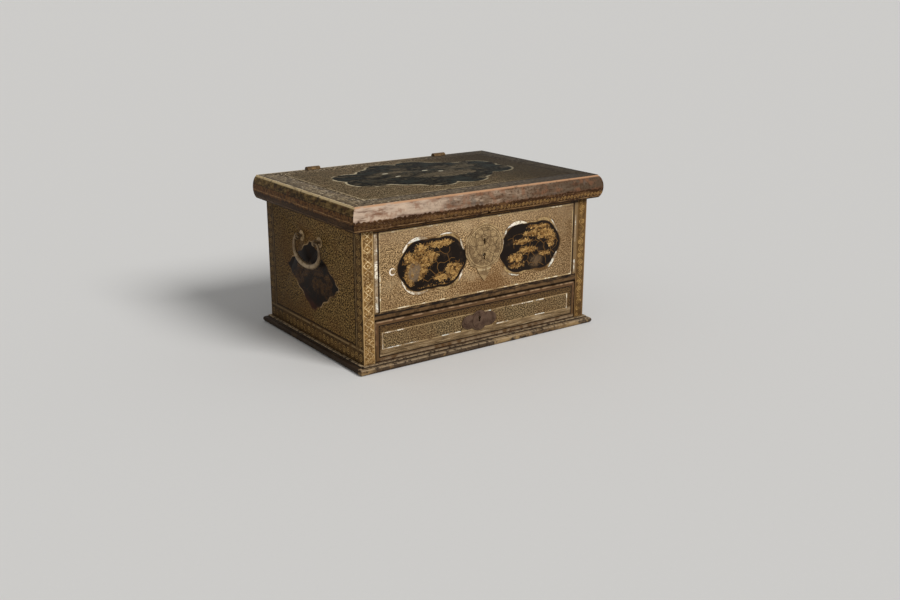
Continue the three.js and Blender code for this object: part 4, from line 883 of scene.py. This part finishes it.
def drawer_lacquer():
    """Drawer front: worn rounded edge, a brown slope, a dark line and the speckled field."""
    paint = Paint("drawer_lacquer")
    x, y, z = paint.x, paint.y, paint.z
    ground, nodules = ray_skin(paint, x, z, (132, 110, 76), (62, 46, 26), paint.pitch, 20)
    ground = stains(paint, ground, 50, 0.25)
    wear = paint.noise(12, detail=4)
    scratch = paint.noise(3.2, (x * 0.12, y, z * 1.4), detail=4, roughness=0.65)
    inset = (DRAWER_HALF_WIDTH - abs(x)).least(DRAWER_TOP - z).least(z - DRAWER_BOTTOM)
    band = paint.mix(nodules, (40, 24, 8), (94, 69, 38))
    low = z.rise(34, 30) * 0.65
    on_frame = (PEARL_HALF_WIDTH - abs(x - PEARL_X)).least(PEARL_HALF_HEIGHT - abs(z - PEARL_Z))
    slope = on_frame.rise(-1, -2) * z.rise(36, 30) * 0.75
    top_edge_highlight = z.rise(70, 76)
    colour = paint.layer(
        ground,
        (on_frame.rise(0, -0.6) * 0.85, paint.mix(low, band, (140, 116, 84))),
        (abs(on_frame).rise(1.1, 0.7) * wear.rise(0.3, 0.5) * 0.8, (160, 134, 96)),
        (inset.line(9.4, 0.9) * 0.5, (40, 26, 14)),
        (slope * scratch.rise(0.5, 0.4), (66, 50, 30)),
        (slope * scratch.rise(0.54, 0.64), (164, 142, 110)),
        (inset.rise(7.6, 7), (90, 66, 40)),
        (inset.line(7.2, 1.8), (30, 18, 8)),
        (inset.rise(5.6, 4.4) * wear.rise(0.34, 0.6), (78, 54, 34)),
        (inset.rise(4.4, 3.4) * wear.rise(0.5, 0.62) * 0.7, (112, 80, 52)),
        # worn arris, lighter along the top edge: wear with a painted highlight
        (inset.rise(2.6, 1.2) * (top_edge_highlight * 0.6 + 0.2) * wear.rise(0.38, 0.6), (172, 142, 108)),
        # painted shade along the top of the drawer front, under the rail
        (z.rise(77.4, 78.2) * 0.7, (44, 28, 14)),
        (z.rise(21, 15) * wear.rise(0.36, 0.6) * 0.7, (160, 140, 112)),
    )
    height = nodules * 0.12 - inset.line(7.2, 1.6) * 0.5
    return paint.finish(colour, 0.44 + wear * 0.16, height, 0.35, shown=y.rise(-155, -156))


def rail_lacquer():
    """The black rail between chest and drawer, with a fine groove, worn specks and painted shadow along its
    lower edge.
    """
    paint = Paint("rail_lacquer")
    wear = paint.noise(9, detail=4)
    streak = paint.noise(5, (paint.x * 0.3, paint.y, paint.z * 1.5), detail=4)
    groove = paint.z.line(88.6, 0.9)
    colour = paint.layer(
        paint.mix(paint.z.rise(86, 89), (92, 68, 42), paint.black),
        (streak.rise(0.44, 0.64) * 0.65, (110, 84, 54)),
        (wear.rise(0.5, 0.4) * 0.6, (40, 26, 12)),
        (streak.rise(0.66, 0.72) * 0.7, (190, 160, 116)),
        (groove * 0.8, (18, 10, 6)),
        # painted shadow along the lower edge, over the gap above the drawer
        (paint.z.rise(83.4, 82) * 0.8, (26, 16, 8)),
    )
    return paint.finish(colour, 0.5 + wear * 0.2, wear * 0.3 - groove, 0.4, shown=paint.y.rise(-157, -158))


def lid_border(paint):
    """The border round the lid's top, the same on panel and rails. Gives its inset and colour."""
    x, y = paint.x, paint.y
    wear = paint.noise(18, (x, y), detail=5)
    inset = (LID_HALF_WIDTH - abs(x)).least(y - LID_FRONT).least(LID_BACK - y + BACK_BORDER_CUT)
    edge = (LID_HALF_WIDTH - abs(x)).least(y - LID_FRONT).least(LID_BACK - y)
    joints = paint.noise(24, (x, y, 3), detail=1)
    flake = paint.noise(5, (x, y * 0.8, 50), detail=4, roughness=0.7)
    scroll = vine(x + y, inset - 19, 34, 12, 1.1)
    left = x.rise(120, -220)
    shards = flake.rise(0.57, 0.63) * joints.rise(0.42, 0.54) * (left * 0.8 + 0.2)
    colour = paint.layer(
        (104, 88, 66),
        (wear.rise(0.45, 0.68) * 0.7, (62, 50, 36)),
        (flake.rise(0.5, 0.42) * 0.85, (42, 33, 23)),
        (flake.rise(0.52, 0.6) * 0.7, (148, 130, 102)),
        (scroll * wear.rise(0.6, 0.42) * 0.75, (172, 152, 118)),
        (shards, (206, 192, 164)),
        # painted shade: darker towards the right
        (x.rise(-20, 190) * 0.8, (44, 38, 31)),
        (y.rise(-110, -140) * x.rise(-210, -90) * 0.34, (58, 46, 32)),
        (edge.line(6, 0.9) * 0.6, (40, 30, 22)),
        # painted highlight along the outer edge, fading towards the right
        (edge.rise(2.8, 0.6) * wear.rise(0.26, 0.5) * x.rise(230, 60),
         paint.mix(y.rise(-160, -165), (216, 192, 150), (176, 142, 112))),
    )
    return inset, colour


def lid_top_lacquer():
    """Lid top: worn olive ground in a border, and one large lobed reserve with scraps of shell."""
    paint = Paint("lid_top_lacquer")
    x, y = paint.x, paint.y
    ground, nodules = ray_skin(paint, x, y, (130, 112, 84), (70, 56, 38), 2.6, 90)
    wear = paint.noise(20, detail=5)
    rough = paint.noise(7, (x, y * 0.8, 14), detail=5, roughness=0.7)
    cloud = paint.noise(80, detail=2)
    ground = paint.layer(
        ground,
        (cloud.rise(0.4, 0.66) * 0.4, (92, 80, 60)),
        (wear.rise(0.5, 0.72) * 0.5, (128, 104, 78)),
        (rough.rise(0.5, 0.38) * 0.65, (44, 36, 24)),
        (rough.rise(0.56, 0.66) * 0.5, (150, 132, 102)),
        # painted shade: darker towards the right
        (x.rise(-10, 170) * 0.78, (41, 35, 27)),
    )
    ragged = (rough - 0.5) * 22 + (wear - 0.5) * 30
    outline = lobes(abs(x - 6), abs(y - 14), LID_LOBES, 12)
    inside = (outline + ragged * 0.35).rise(0.8, -0.8)
    mask, tone, _ = gold_sprays(
        paint, x, y,
        ((-70, 30, 30, 20), (40, -10, 34, 22), (96, 44, 26, 18), (-20, 78, 26, 14)),
        ((0, 30, 90, 40), (100, 0, 30, 26), (-100, 0, 26, 24)),
        ((0, 16, 130, 70),), (112, 98, 74), (70, 60, 46))
    bare = paint.noise(34, (x * 0.8, y * 1.4, 30), detail=5)
    patches = clumps(((36, -12, 62, 22), (-38, 46, 36, 11), (98, 34, 26, 13)))(x + ragged, y - ragged * 0.6)
    patch_tone = paint.mix(bare.rise(0.36, 0.6), (78, 70, 56), (112, 98, 76))
    scraps = clumps(((-55, 45, 6, 3), (-50, 12, 5, 2.5), (20, 35, 6, 2.5), (40, 15, 5, 2.5)))
    reserve = paint.layer(
        (22, 19, 16),
        (rough.rise(0.46, 0.62) * 0.7, (62, 60, 50)),
        (bare.rise(0.5, 0.62) * 0.6, (46, 50, 46)),
        (mask * wear.rise(0.6, 0.4) * 0.6, tone),
        (patches * rough.rise(0.36, 0.56) * 0.8, patch_tone),
        (bare.rise(0.46, 0.4) * rough.rise(0.4, 0.52) * 0.6, (96, 86, 68)),
        (scraps(x + (rough - 0.5) * 16, y), (206, 196, 170)),
    )
    joints = paint.noise(24, (x, y, 3), detail=1)
    inset, border = lid_border(paint)
    rim = abs(outline - 1.6).rise(2.4, 1.6) * joints.rise(0.4, 0.52) * rough.rise(0.36, 0.46)
    colour = paint.layer(
        ground,
        (inside, reserve),
        # shell rim, brighter towards the left as painted light
        (rim * (x.rise(60, -140) * 0.5 + 0.4), (196, 182, 150)),
        (inset.rise(LID_BORDER, LID_BORDER - 1), border),
        # pale border line, shown only towards the left as painted light
        (inset.line(LID_BORDER, 1.8) * joints.rise(0.36, 0.48) * rough.rise(0.34, 0.44) * x.rise(170, -40),
         (178, 160, 126)),
    )
    height = nodules * 0.15 + wear * 0.5 + rough * 0.6
    is_top = paint.z.rise(262.6, 263.4)
    return paint.finish(colour, 0.62 + wear * 0.2, height, 0.35, shine=0.03, shown=is_top)


def lid_edge_lacquer():
    """Lid rails: the round nose is rubbed bare in front and keeps its gold below and at the sides; painted
    shade darkens its lower half and the right, and a painted highlight runs along the top arris.
    """
    paint = Paint("lid_edge_lacquer")
    x, y, z = paint.x, paint.y, paint.z
    wear = paint.noise(16, detail=5)
    fine = paint.noise(4, detail=4, roughness=0.65)
    streak = paint.noise(7, (x * 0.16, y * 0.16, z), detail=5, roughness=0.65)
    is_front = (LID_FRONT - y - abs(x) + LID_HALF_WIDTH).rise(-0.2, 0.2)
    along = x * is_front + y * (1 - is_front)
    inset, top = lid_border(paint)
    teeth = abs(along.repeat(9)) * fine.rise(0.4, 0.6) * 0.8
    jag = z + (wear - 0.5) * 12 + (fine - 0.5) * 10 - teeth
    scroll = vine(along, z - 233.5, 15, 4, 0.8)
    shown = x.rise(-160, 90) * 0.75 + 0.25
    # dark lacquer with its gold, darkened as painted shade where the lower half of the nose faces down
    dark = paint.layer(
        (54, 34, 18),
        (streak.rise(0.46, 0.62) * 0.7, (104, 74, 46)),
        (scroll * fine.rise(0.62, 0.44) * shown, (156, 120, 72)),
        (z.line(228, 1.2) * wear.rise(0.36, 0.56), (150, 118, 80)),
        (fine.rise(0.58, 0.68) * 0.6, (150, 120, 92)),
        (fine.rise(0.42, 0.32) * 0.7, (26, 15, 8)),
    )
    bare = paint.layer(
        (176, 154, 134),
        # painted light: the bare front lighter to the left and darker to the right
        (x.rise(-180, 10), (108, 88, 70)),
        (x.rise(10, 200) * 0.85, (74, 60, 46)),
        (streak.rise(0.46, 0.62) * x.rise(260, -160) * 0.6, (196, 172, 148)),
        (streak.rise(0.5, 0.36) * 0.75, (92, 64, 46)),
        (wear.rise(0.5, 0.64) * 0.6, (122, 82, 58)),
        (fine.rise(0.5, 0.38) * x.rise(-200, 0) * 0.6, (60, 38, 24)),
        (paint.noise(26, detail=4).rise(0.54, 0.64) * x.rise(-100, 0) * 0.7, (96, 88, 80)),
        # painted shade towards the bottom of the bare front
        (z.rise(244, 240) * 0.5, (92, 54, 34)),
    )
    front_nose = paint.layer(dark, (jag.rise(240, 241.4), bare))
    # painted shade on the sides' lower, downward-facing half, nearly black at the bottom
    side_under_shade = (z + (wear - 0.5) * 10).rise(240, 237)
    blotch = paint.noise(6, (x * 0.4, y * 0.4, z), detail=4, roughness=0.65)
    side_nose = paint.layer(
        (88, 68, 36),
        (streak.rise(0.42, 0.62) * 0.7, (122, 98, 56)),
        (fine.rise(0.52, 0.4) * 0.8, (44, 28, 12)),
        (blotch.rise(0.5, 0.4) * 0.8, (36, 23, 10)),
        (blotch.rise(0.55, 0.63) * 0.65, (146, 118, 76)),
        (z.rise(251, 249) * 0.8, paint.mix(fine.rise(0.4, 0.6), (62, 38, 18), (118, 80, 44))),
        (z.line(250.6, 1.2) * 0.7, (36, 22, 12)),
        (wear.rise(0.54, 0.68) * 0.6, (88, 52, 34)),
        ((z - 243 + streak * 4).line(0, 1) * wear.rise(0.3, 0.55), (150, 116, 78)),
        (side_under_shade * 0.95, paint.mix(0.5, dark, (20, 11, 5))),
    )
    edge = paint.layer(
        paint.mix(is_front, side_nose, front_nose),
        # painted highlight along the top arris, brighter on the front than at the sides
        (z.rise(260.6, 262.4) * wear.rise(0.26, 0.46) * 0.9,
         paint.mix(is_front, (228, 202, 154), (180, 138, 104))),
    )
    back = y.rise(161.2, 161.8)
    under = z.rise(225.3, 225).most(z.rise(250, 249) * inset.rise(33, 34))
    colour = paint.layer(
        edge,
        (back, paint.mix(wear.rise(0.44, 0.68) * 0.6, (34, 24, 18), (74, 54, 38))),
        (z.rise(263.5, 263.9), top),
        (under, (42, 29, 20)),
    )
    height = wear * 0.5 + fine * 0.5 + streak * 0.5
    return paint.finish(colour, 0.5 + wear * 0.2, height, 0.5, shine=0.05)


def plinth_lacquer():
    """Plinth: painted highlights on the fillet and the nose, painted shade in the cove and on the faces
    other than the front, and a nose worn bare in patches.
    """
    paint = Paint("plinth_lacquer")
    x, y, z = paint.x, paint.y, paint.z
    wear = paint.noise(34, detail=5, distortion=0.6)
    fine = paint.noise(5, detail=4, roughness=0.65)
    streak = paint.noise(6, (x * 0.2, y * 0.2, z), detail=4)
    in_front = (-y).rise(158, 160)
    bare = (wear + fine * 0.25 + in_front * x.rise(-40, 60) * 0.1).rise(0.66, 0.8)
    bare = bare.most((x.rise(-205, -226) * in_front) * fine.rise(0.4, 0.5))
    wood = paint.mix(streak.rise(0.35, 0.65), (104, 80, 52), (152, 126, 88))
    colour = paint.layer(
        (64, 50, 36),
        (streak.rise(0.48, 0.68) * 0.6, (98, 82, 64)),
        (fine.rise(0.5, 0.38) * 0.8, (38, 26, 16)),
        # painted shade on the faces other than the front
        (in_front.rise(0.5, 0) * 0.55, (40, 28, 18)),
        (bare * z.rise(10.4, 9.4) * (in_front * 0.7 + 0.2), wood),
        # painted shade in the cove
        (z.band(9.8, 11.2) * 0.8, (34, 22, 12)),
        # painted highlights on the fillet and along the front of the nose
        (z.rise(11.2, 11.8) * fine.rise(0.36, 0.58) * (0.9 - in_front * 0.3), (178, 154, 120)),
        (z.line(8.6, 1.6) * fine.rise(0.38, 0.5) * in_front * 0.6, (168, 146, 116)),
    )
    return paint.finish(colour, 0.6 + fine * 0.2, wear * 0.4 + fine * 0.4 - bare * 0.3, 0.6, shine=0.12)


def back_lacquer():
    """Back: plain black lacquer with a thin gold border and handling marks."""
    paint = Paint("back_lacquer")
    x, y, z = paint.x, paint.y, paint.z
    wear = paint.noise(40, detail=5)
    scratch = paint.noise(2, (x * 0.05, y, z * 1.5), detail=2)
    inset = (214 - abs(x)).least(z - 12).least(CARCASE_TOP - z)
    border = vine(x + z, inset - 14, 26, 7, 0.8) * inset.band(5, 23)
    colour = paint.layer(
        paint.black,
        (wear.rise(0.42, 0.7) * 0.5, (58, 42, 30)),
        (scratch.rise(0.62, 0.72) * 0.3, (88, 68, 50)),
        (border * wear.rise(0.66, 0.4) * y.rise(158, 158.8), paint.deep_gold),
        ((inset.line(4, 0.9).most(inset.line(24, 0.9))) * y.rise(158, 158.8) * 0.8, paint.deep_gold),
    )
    return paint.finish(colour, 0.34 + wear * 0.25, scratch * 0.3 + border * 0.3, 0.3)


def inner_lacquer():
    """Inside of the chest and the drawer: dull dark brown lacquer over the grain."""
    paint = Paint("inner_lacquer")
    grain = paint.noise(5, (paint.x * 0.05, paint.y * 0.8, paint.z), detail=4)
    wear = paint.noise(30, detail=4)
    colour = paint.layer(
        (52, 34, 22),
        (grain.rise(0.4, 0.7) * 0.5, (74, 50, 32)),
        (wear.rise(0.5, 0.7) * 0.5, (92, 66, 44)),
    )
    return paint.finish(colour, 0.5 + wear * 0.2, grain * 0.6 + wear * 0.3, 0.4)


# Metal


def gilt_copper():
    """Dulled gilding over copper with engraved leaves and a ring-punched ground."""
    paint = Paint("gilt_copper")
    x, y, z = paint.x, paint.y, paint.z
    u = x + y
    patina = paint.noise(14, detail=5)
    fine = paint.noise(2)
    warp = paint.noise(11, detail=1) * 9
    engraved = paint.cells(13, (u + warp, z - warp), feature="DISTANCE_TO_EDGE").rise(0.07, 0.03)
    leaf, vein, _ = leaves(paint, u, z, 8.5, lambda middle_u, middle_v: middle_u * 0 + 1, 0.32)
    punched = paint.cells(1.2, (u, z), randomness=0.4)[0].rise(0.2, 0.34) * (1 - leaf)
    plate = length(x - PLATE_X, z - PLATE_Z)
    turn = (z - PLATE_Z).math("ARCTAN2", x - PLATE_X)
    on_plate = y.rise(-100, -140)
    border = plate.line(34.6, 1).most(plate.line(31.4, 0.7)) * on_plate
    beads = plate.line(33, 1.6) * (turn * 48).sine().rise(0, 0.5) * on_plate
    cutting = (engraved.most(leaf * (1 - vein)).most(punched * 0.5) * plate.rise(31, 30.4)).most(border)
    # light rim near the plate's edge: rubbed gilding with a painted glint
    rubbed = plate.line(39, 2.4) * paint.noise(10, detail=2).rise(0.46, 0.56) * on_plate
    colour = paint.layer(
        (168, 140, 100),
        (patina.rise(0.38, 0.6) * 0.8, (112, 88, 60)),
        (fine.rise(0.55, 0.72) * 0.5, (190, 164, 124)),
        (beads * 0.5, (200, 174, 130)),
        (rubbed * 0.8, (206, 184, 144)),
        (leaf * vein * 0.4, (190, 162, 118)),
        (cutting * 0.75, (64, 46, 28)),
    )
    return paint.finish(colour, 0.42 + patina * 0.22, leaf * 0.5 + beads * 0.5 - cutting, 0.35,
                        metallic=0.5 - patina * 0.25)


def dark_iron():
    """Brown patinated iron with faint turned rings."""
    paint = Paint("dark_iron")
    x, z = paint.x, paint.z
    patina = paint.noise(9, detail=5)
    fine = paint.noise(1.6)
    rings = (length(x - DRAWER_PLATE_X, z - DRAWER_PLATE_Z) * 2.6).sine()
    colour = paint.layer(
        (92, 72, 58),
        (patina.rise(0.4, 0.66) * 0.8, (66, 48, 38)),
        (fine.rise(0.56, 0.7) * 0.5, (122, 100, 80)),
    )
    return paint.finish(colour, 0.5 + fine * 0.2, patina * 0.6 + fine * 0.4 + rings * 0.12, 0.4,
                        metallic=0.35 + patina * 0.2)


def handle_bronze():
    """Brown bronze, lighter low on the bail where it stands out: polished by hands, and a painted highlight.
    """
    paint = Paint("handle_bronze")
    patina = paint.noise(12, detail=5)
    fine = paint.noise(1.8)
    low = paint.z.rise(162, 142)
    colour = paint.layer(
        (140, 120, 94),
        (patina.rise(0.4, 0.66) * 0.8, (98, 78, 58)),
        # lighter low on the bail: hand polish with a painted highlight
        (low * patina.rise(0.68, 0.4) * 0.6, (176, 154, 122)),
        (fine.rise(0.58, 0.72) * 0.4, (168, 148, 118)),
    )
    return paint.finish(colour, 0.44 + patina * 0.2 - low * 0.1, patina * 0.5 + fine * 0.5, 0.25,
                        metallic=0.7 - patina * 0.2)


def lock_iron():
    """Oiled iron of the inner lock work."""
    paint = Paint("lock_iron")
    patina = paint.noise(6, detail=5)
    brushed = paint.noise(1, (paint.x * 0.1, paint.y, paint.z), detail=2)
    colour = paint.layer(
        (96, 90, 84),
        (patina.rise(0.5, 0.7) * 0.7, (104, 72, 50)),
        (brushed.rise(0.5, 0.7) * 0.4, (128, 122, 114)),
    )
    return paint.finish(colour, 0.45 + patina * 0.25, patina * 0.4 + brushed * 0.3, 0.2,
                        metallic=0.8 - patina * 0.3)


def shell():
    """Mother-of-pearl."""
    paint = Paint("shell")
    fine = paint.noise(2.4)
    dull = paint.noise(14) - abs(paint.x).rise(194, 186) * 0.1
    loop = length(paint.x - LOOP_X, paint.z - LOOP_Z).rise(7, 9)
    tone = paint.layer(
        pearl_tone(paint),
        (dull.rise(0.36, 0.52) * loop * 0.9, (142, 116, 82)),
        (fine.rise(0.52, 0.62) * loop * 0.8, (112, 88, 60)),
    )
    return paint.finish(tone, 0.34 + fine * 0.14, fine * 0.3, 0.08, shine=0.4)


def hinge_brass():
    """Hinge straps: brass gone dull brown, scratched to yellow."""
    paint = Paint("hinge_brass")
    patina = paint.noise(8, detail=5)
    fine = paint.noise(1.6, (paint.x, paint.y * 0.2, paint.z))
    colour = paint.layer(
        (112, 88, 58),
        (patina.rise(0.4, 0.62) * 0.8, (74, 56, 38)),
        (fine.rise(0.56, 0.68) * 0.6, (150, 122, 80)),
    )
    return paint.finish(colour, 0.5 + patina * 0.2, patina * 0.4 + fine * 0.4, 0.2,
                        metallic=0.5 - patina * 0.3)


def raised_gold():
    """Gold lacquer in low relief, rubbed on the high places."""
    paint = Paint("raised_gold")
    fine = paint.noise(1.4)
    patch = paint.noise(10)
    colour = paint.layer(
        (190, 148, 86),
        (patch.rise(0.42, 0.58) * 0.8, (134, 96, 52)),
        (fine.rise(0.5, 0.7) * 0.6, (216, 178, 114)),
        (fine.rise(0.46, 0.36) * 0.6, (70, 46, 24)),
    )
    return paint.finish(colour, 0.44 + fine * 0.2, fine, 0.15, metallic=0.25)


# Operators


class CHEST_OT_boards(bpy.types.Operator):
    """Finish the carcase boards with lacquer and eased edges"""

    bl_idname = "chest.boards"
    bl_label = "Boards"

    def execute(self, context):
        dress(["front_board"], front_lacquer(), 0.4)
        dress(["left_side_board", "right_side_board"], side_lacquer(), 0.7)
        dress(["chest_floor"], rail_lacquer(), 0.5)
        dress(["back_board"], back_lacquer(), 0.6)
        dress(["base_board", "drawer_stop_left", "drawer_stop_right"], inner_lacquer(), 0.6)
        return {"FINISHED"}


class CHEST_OT_mouldings(bpy.types.Operator):
    """Finish the plinth mouldings"""

    bl_idname = "chest.mouldings"
    bl_label = "Plinth"

    def execute(self, context):
        dress([f"plinth_{side}" for side in ("front", "back", "left", "right")], plinth_lacquer(), 0.25)
        return {"FINISHED"}


class CHEST_OT_lid(bpy.types.Operator):
    """Finish the lid's panel and rails"""

    bl_idname = "chest.lid"
    bl_label = "Lid"

    def execute(self, context):
        dress(["lid_panel"], lid_top_lacquer(), 0.25)
        dress([f"lid_rail_{side}" for side in ("front", "back", "left", "right")], lid_edge_lacquer(), 0.25)
        return {"FINISHED"}


class CHEST_OT_drawer(bpy.types.Operator):
    """Finish the drawer"""

    bl_idname = "chest.drawer"
    bl_label = "Drawer"

    def execute(self, context):
        dress(["drawer_front"], drawer_lacquer(), 0)
        dress(["drawer_left", "drawer_right", "drawer_back", "drawer_bottom"], inner_lacquer(), 0.4)
        return {"FINISHED"}


class CHEST_OT_metalwork(bpy.types.Operator):
    """Finish the plates, hinges, handles and locks"""

    bl_idname = "chest.metalwork"
    bl_label = "Metalwork"

    def execute(self, context):
        gilt, iron, bronze, oiled = gilt_copper(), dark_iron(), handle_bronze(), lock_iron()
        straps = hinge_brass()
        dress(["chest_lock_plate"], gilt, 0.35)
        dress(["drawer_lock_plate"], iron, 0.35)
        for side in ("left", "right"):
            dress([f"{side}_hinge_body_leaf", f"{side}_hinge_lid_leaf"], straps, 0.3)
            dress([f"{side}_hinge_pin"], bronze, 0.2)
            dress([f"{side}_front_rosette", f"{side}_back_rosette"], gilt, 0.4)
            dress([f"{side}_front_eye", f"{side}_back_eye"], bronze, 0)
            dress([f"{side}_bail"], bronze, 0, levels=1, angle=60)
        for lock in ("chest", "drawer"):
            dress([f"{lock}_lock_{piece}" for piece in ("case", "bolt", "spring", "key_pin")], oiled, 0.15)
        return {"FINISHED"}


class CHEST_OT_pearl(bpy.types.Operator):
    """Lay the mother-of-pearl strips, arcs and chips"""

    bl_idname = "chest.pearl"
    bl_label = "Pearl"

    def execute(self, context):
        material = shell()
        joined("post_pearl", bars(POST_PEARL), material, "root")

        arcs = [
            arc_strip(RESERVE_SHIFT + side * RESERVE_X + hand * LOBE_U, RESERVE_Z + rank * LOBE_V,
                      LOBE_RADIUS + 0.4 - width / 2, start, sweep, width)
            for side, hand, rank, start, sweep, width in RESERVE_PEARL]
        arcs.append(arc_strip(LOOP_X, LOOP_Z, 4.6, 30, 300, 2.4))
        joined("reserve_pearl", arcs, material, "root")

        left, right = PEARL_X - PEARL_HALF_WIDTH, PEARL_X + PEARL_HALF_WIDTH
        bottom, top = PEARL_Z - PEARL_HALF_HEIGHT, PEARL_Z + PEARL_HALF_HEIGHT
        rows = [(left, left + 1.4, bottom, top), (right - 1.7, right, bottom, top)]
        rows += [(start, end, top - 1.5, top) for start, end in DRAWER_PEARL_TOP]
        rows += [(start, end, bottom, bottom + 1.5) for start, end in DRAWER_PEARL_BOTTOM]
        joined("drawer_pearl", bars(rows), material, "drawer")
        return {"FINISHED"}


class CHEST_OT_gold(bpy.types.Operator):
    """Raise gold flower heads and leaves in the front reserves"""

    bl_idname = "chest.gold"
    bl_label = "Raised gold"

    def execute(self, context):
        material = raised_gold()
        chance = random.Random(11)
        for middle, (flower_ovals, leaf_ovals) in GOLD_BANKS.items():
            pieces = copies(flower_head(9, 2.9, 0.7), scattered(flower_ovals, middle, 5, 6, chance, 8))
            pieces += copies(flower_head(6, 1.6, 0.5), scattered(flower_ovals, middle, 7, 4.2, chance, 7.5))
            pieces += copies(leaf_blade(4.6, 0.26), scattered(leaf_ovals, middle, 22, 2.8, chance, 7.5))
            name = "left_reserve_gold" if middle < 0 else "right_reserve_gold"
            joined(name, pieces, material, "root")
        return {"FINISHED"}


class CHEST_OT_nails(bpy.types.Operator):
    """Drive domed nails into the lock plates"""

    bl_idname = "chest.nails"
    bl_label = "Nails"

    def execute(self, context):
        ring = []
        for angle in PLATE_NAIL_ANGLES:
            across = PLATE_NAILS_RADIUS * math.cos(math.radians(angle))
            up = PLATE_NAILS_RADIUS * math.sin(math.radians(angle))
            ring.append(((PLATE_X + across, PLATE_NAIL_Y, PLATE_Z + up), 0, 1))
        joined("chest_plate_nails", copies(nail(1.5), ring), gilt_copper(), "root")
        flat = [((DRAWER_PLATE_X + across, DRAWER_NAIL_Y, DRAWER_PLATE_Z + up), 0, 1)
                for across, up in DRAWER_NAILS]
        joined("drawer_plate_nails", copies(nail(1.4), flat), dark_iron(), "drawer")
        return {"FINISHED"}


class CHEST_OT_stage(bpy.types.Operator):
    """Lay the floor, hang the lights and set the camera"""

    bl_idname = "chest.stage"
    bl_label = "Stage"

    def execute(self, context):
        own = context.scene.chest_stage
        floor = primitive("plane", size=FLOOR_SIZE, location=(0, 0, 0))
        floor.name = "floor"
        paint = Paint("floor_paper")
        fibres = paint.noise(6, detail=4)
        colour = paint.mix(fibres, toned(rgba(own.floor), 0.98), rgba(own.floor))
        floor.data.materials.append(paint.finish(colour, 0.9))

        world = bpy.data.worlds.new("studio")
        world.use_nodes = True
        context.scene.world = world
        nodes, links = world.node_tree.nodes, world.node_tree.links
        background = nodes["Background"]
        background.inputs["Color"].default_value = (1, 1, 1, 1)

        # The camera and reflections see the backdrop; all else gets the surrounding light
        rays = nodes.new("ShaderNodeLightPath")
        seen = rays.outputs["Is Camera Ray"]
        for kind in ("Is Glossy Ray", "Is Transmission Ray"):
            either = nodes.new("ShaderNodeMath")
            either.operation = "MAXIMUM"
            links.new(seen, either.inputs[0])
            links.new(rays.outputs[kind], either.inputs[1])
            seen = either.outputs[0]
        strength = nodes.new("ShaderNodeMath")
        strength.operation = "MULTIPLY_ADD"
        links.new(seen, strength.inputs[0])
        strength.inputs[1].default_value = own.backdrop_strength - own.world_strength
        strength.inputs[2].default_value = own.world_strength
        links.new(strength.outputs[0], background.inputs["Strength"])

        sun = bpy.data.lights.new("key", "SUN")
        sun.energy = own.sun_strength
        sun.angle = math.radians(KEY_ANGLE)
        key = bpy.data.objects.new("key", sun)
        context.scene.collection.objects.link(key)
        key.rotation_euler = Vector(KEY_DIRECTION).to_track_quat("-Z", "Y").to_euler()

        camera = bpy.data.cameras.new("camera")
        camera.lens = own.lens
        camera.sensor_width = 36
        seen_from = bpy.data.objects.new("camera", camera)
        context.scene.collection.objects.link(seen_from)
        yaw, pitch, roll = (math.radians(angle) for angle in (CAMERA_YAW, CAMERA_PITCH, CAMERA_ROLL))
        level = Vector((math.cos(yaw), -math.sin(yaw), 0))
        ahead = Vector((math.sin(yaw), math.cos(yaw), 0))
        forward = ahead * math.cos(pitch) - Vector((0, 0, math.sin(pitch)))
        upright = level.cross(forward)
        right = level * math.cos(roll) + upright * math.sin(roll)
        up = upright * math.cos(roll) - level * math.sin(roll)
        turned = Matrix((right, up, -forward)).transposed().to_4x4()
        seen_from.matrix_world = Matrix.Translation(CAMERA_PLACE) @ turned
        context.scene.camera = seen_from
        context.scene.view_settings.view_transform = "Standard"
        return {"FINISHED"}


OPERATORS = (CHEST_OT_boards, CHEST_OT_mouldings, CHEST_OT_lid, CHEST_OT_drawer, CHEST_OT_metalwork,
             CHEST_OT_pearl, CHEST_OT_gold, CHEST_OT_nails, CHEST_OT_stage)


class CHEST_PT_panel(bpy.types.Panel):
    """Lists the steps that finish the chest"""

    bl_label = "Lacquer chest"
    bl_idname = "CHEST_PT_panel"
    bl_space_type = "VIEW_3D"
    bl_region_type = "UI"
    bl_category = "Chest"

    def draw(self, context):
        for operator in OPERATORS:
            self.layout.operator(operator.bl_idname)
        for group in (context.scene.chest_lacquer, context.scene.chest_stage):
            for name in group.bl_rna.properties.keys():
                if name not in ("name", "rna_type"):
                    self.layout.prop(group, name)


GROUPS = {"chest_lacquer": ChestLacquer, "chest_stage": ChestStage}


def register():
    for group in GROUPS.values():
        bpy.utils.register_class(group)
    for operator in OPERATORS:
        bpy.utils.register_class(operator)
    bpy.utils.register_class(CHEST_PT_panel)
    for name, group in GROUPS.items():
        setattr(bpy.types.Scene, name, bpy.props.PointerProperty(type=group))


def unregister():
    for name in GROUPS:
        delattr(bpy.types.Scene, name)
    bpy.utils.unregister_class(CHEST_PT_panel)
    for operator in reversed(OPERATORS):
        bpy.utils.unregister_class(operator)
    for group in reversed(GROUPS.values()):
        bpy.utils.unregister_class(group)


def main():
    register()
    bpy.ops.chest.boards()
    bpy.ops.chest.mouldings()
    bpy.ops.chest.lid()
    bpy.ops.chest.drawer()
    bpy.ops.chest.metalwork()
    bpy.ops.chest.pearl()
    bpy.ops.chest.gold()
    bpy.ops.chest.nails()
    bpy.ops.chest.stage()


if __name__ == "__main__":
    main()
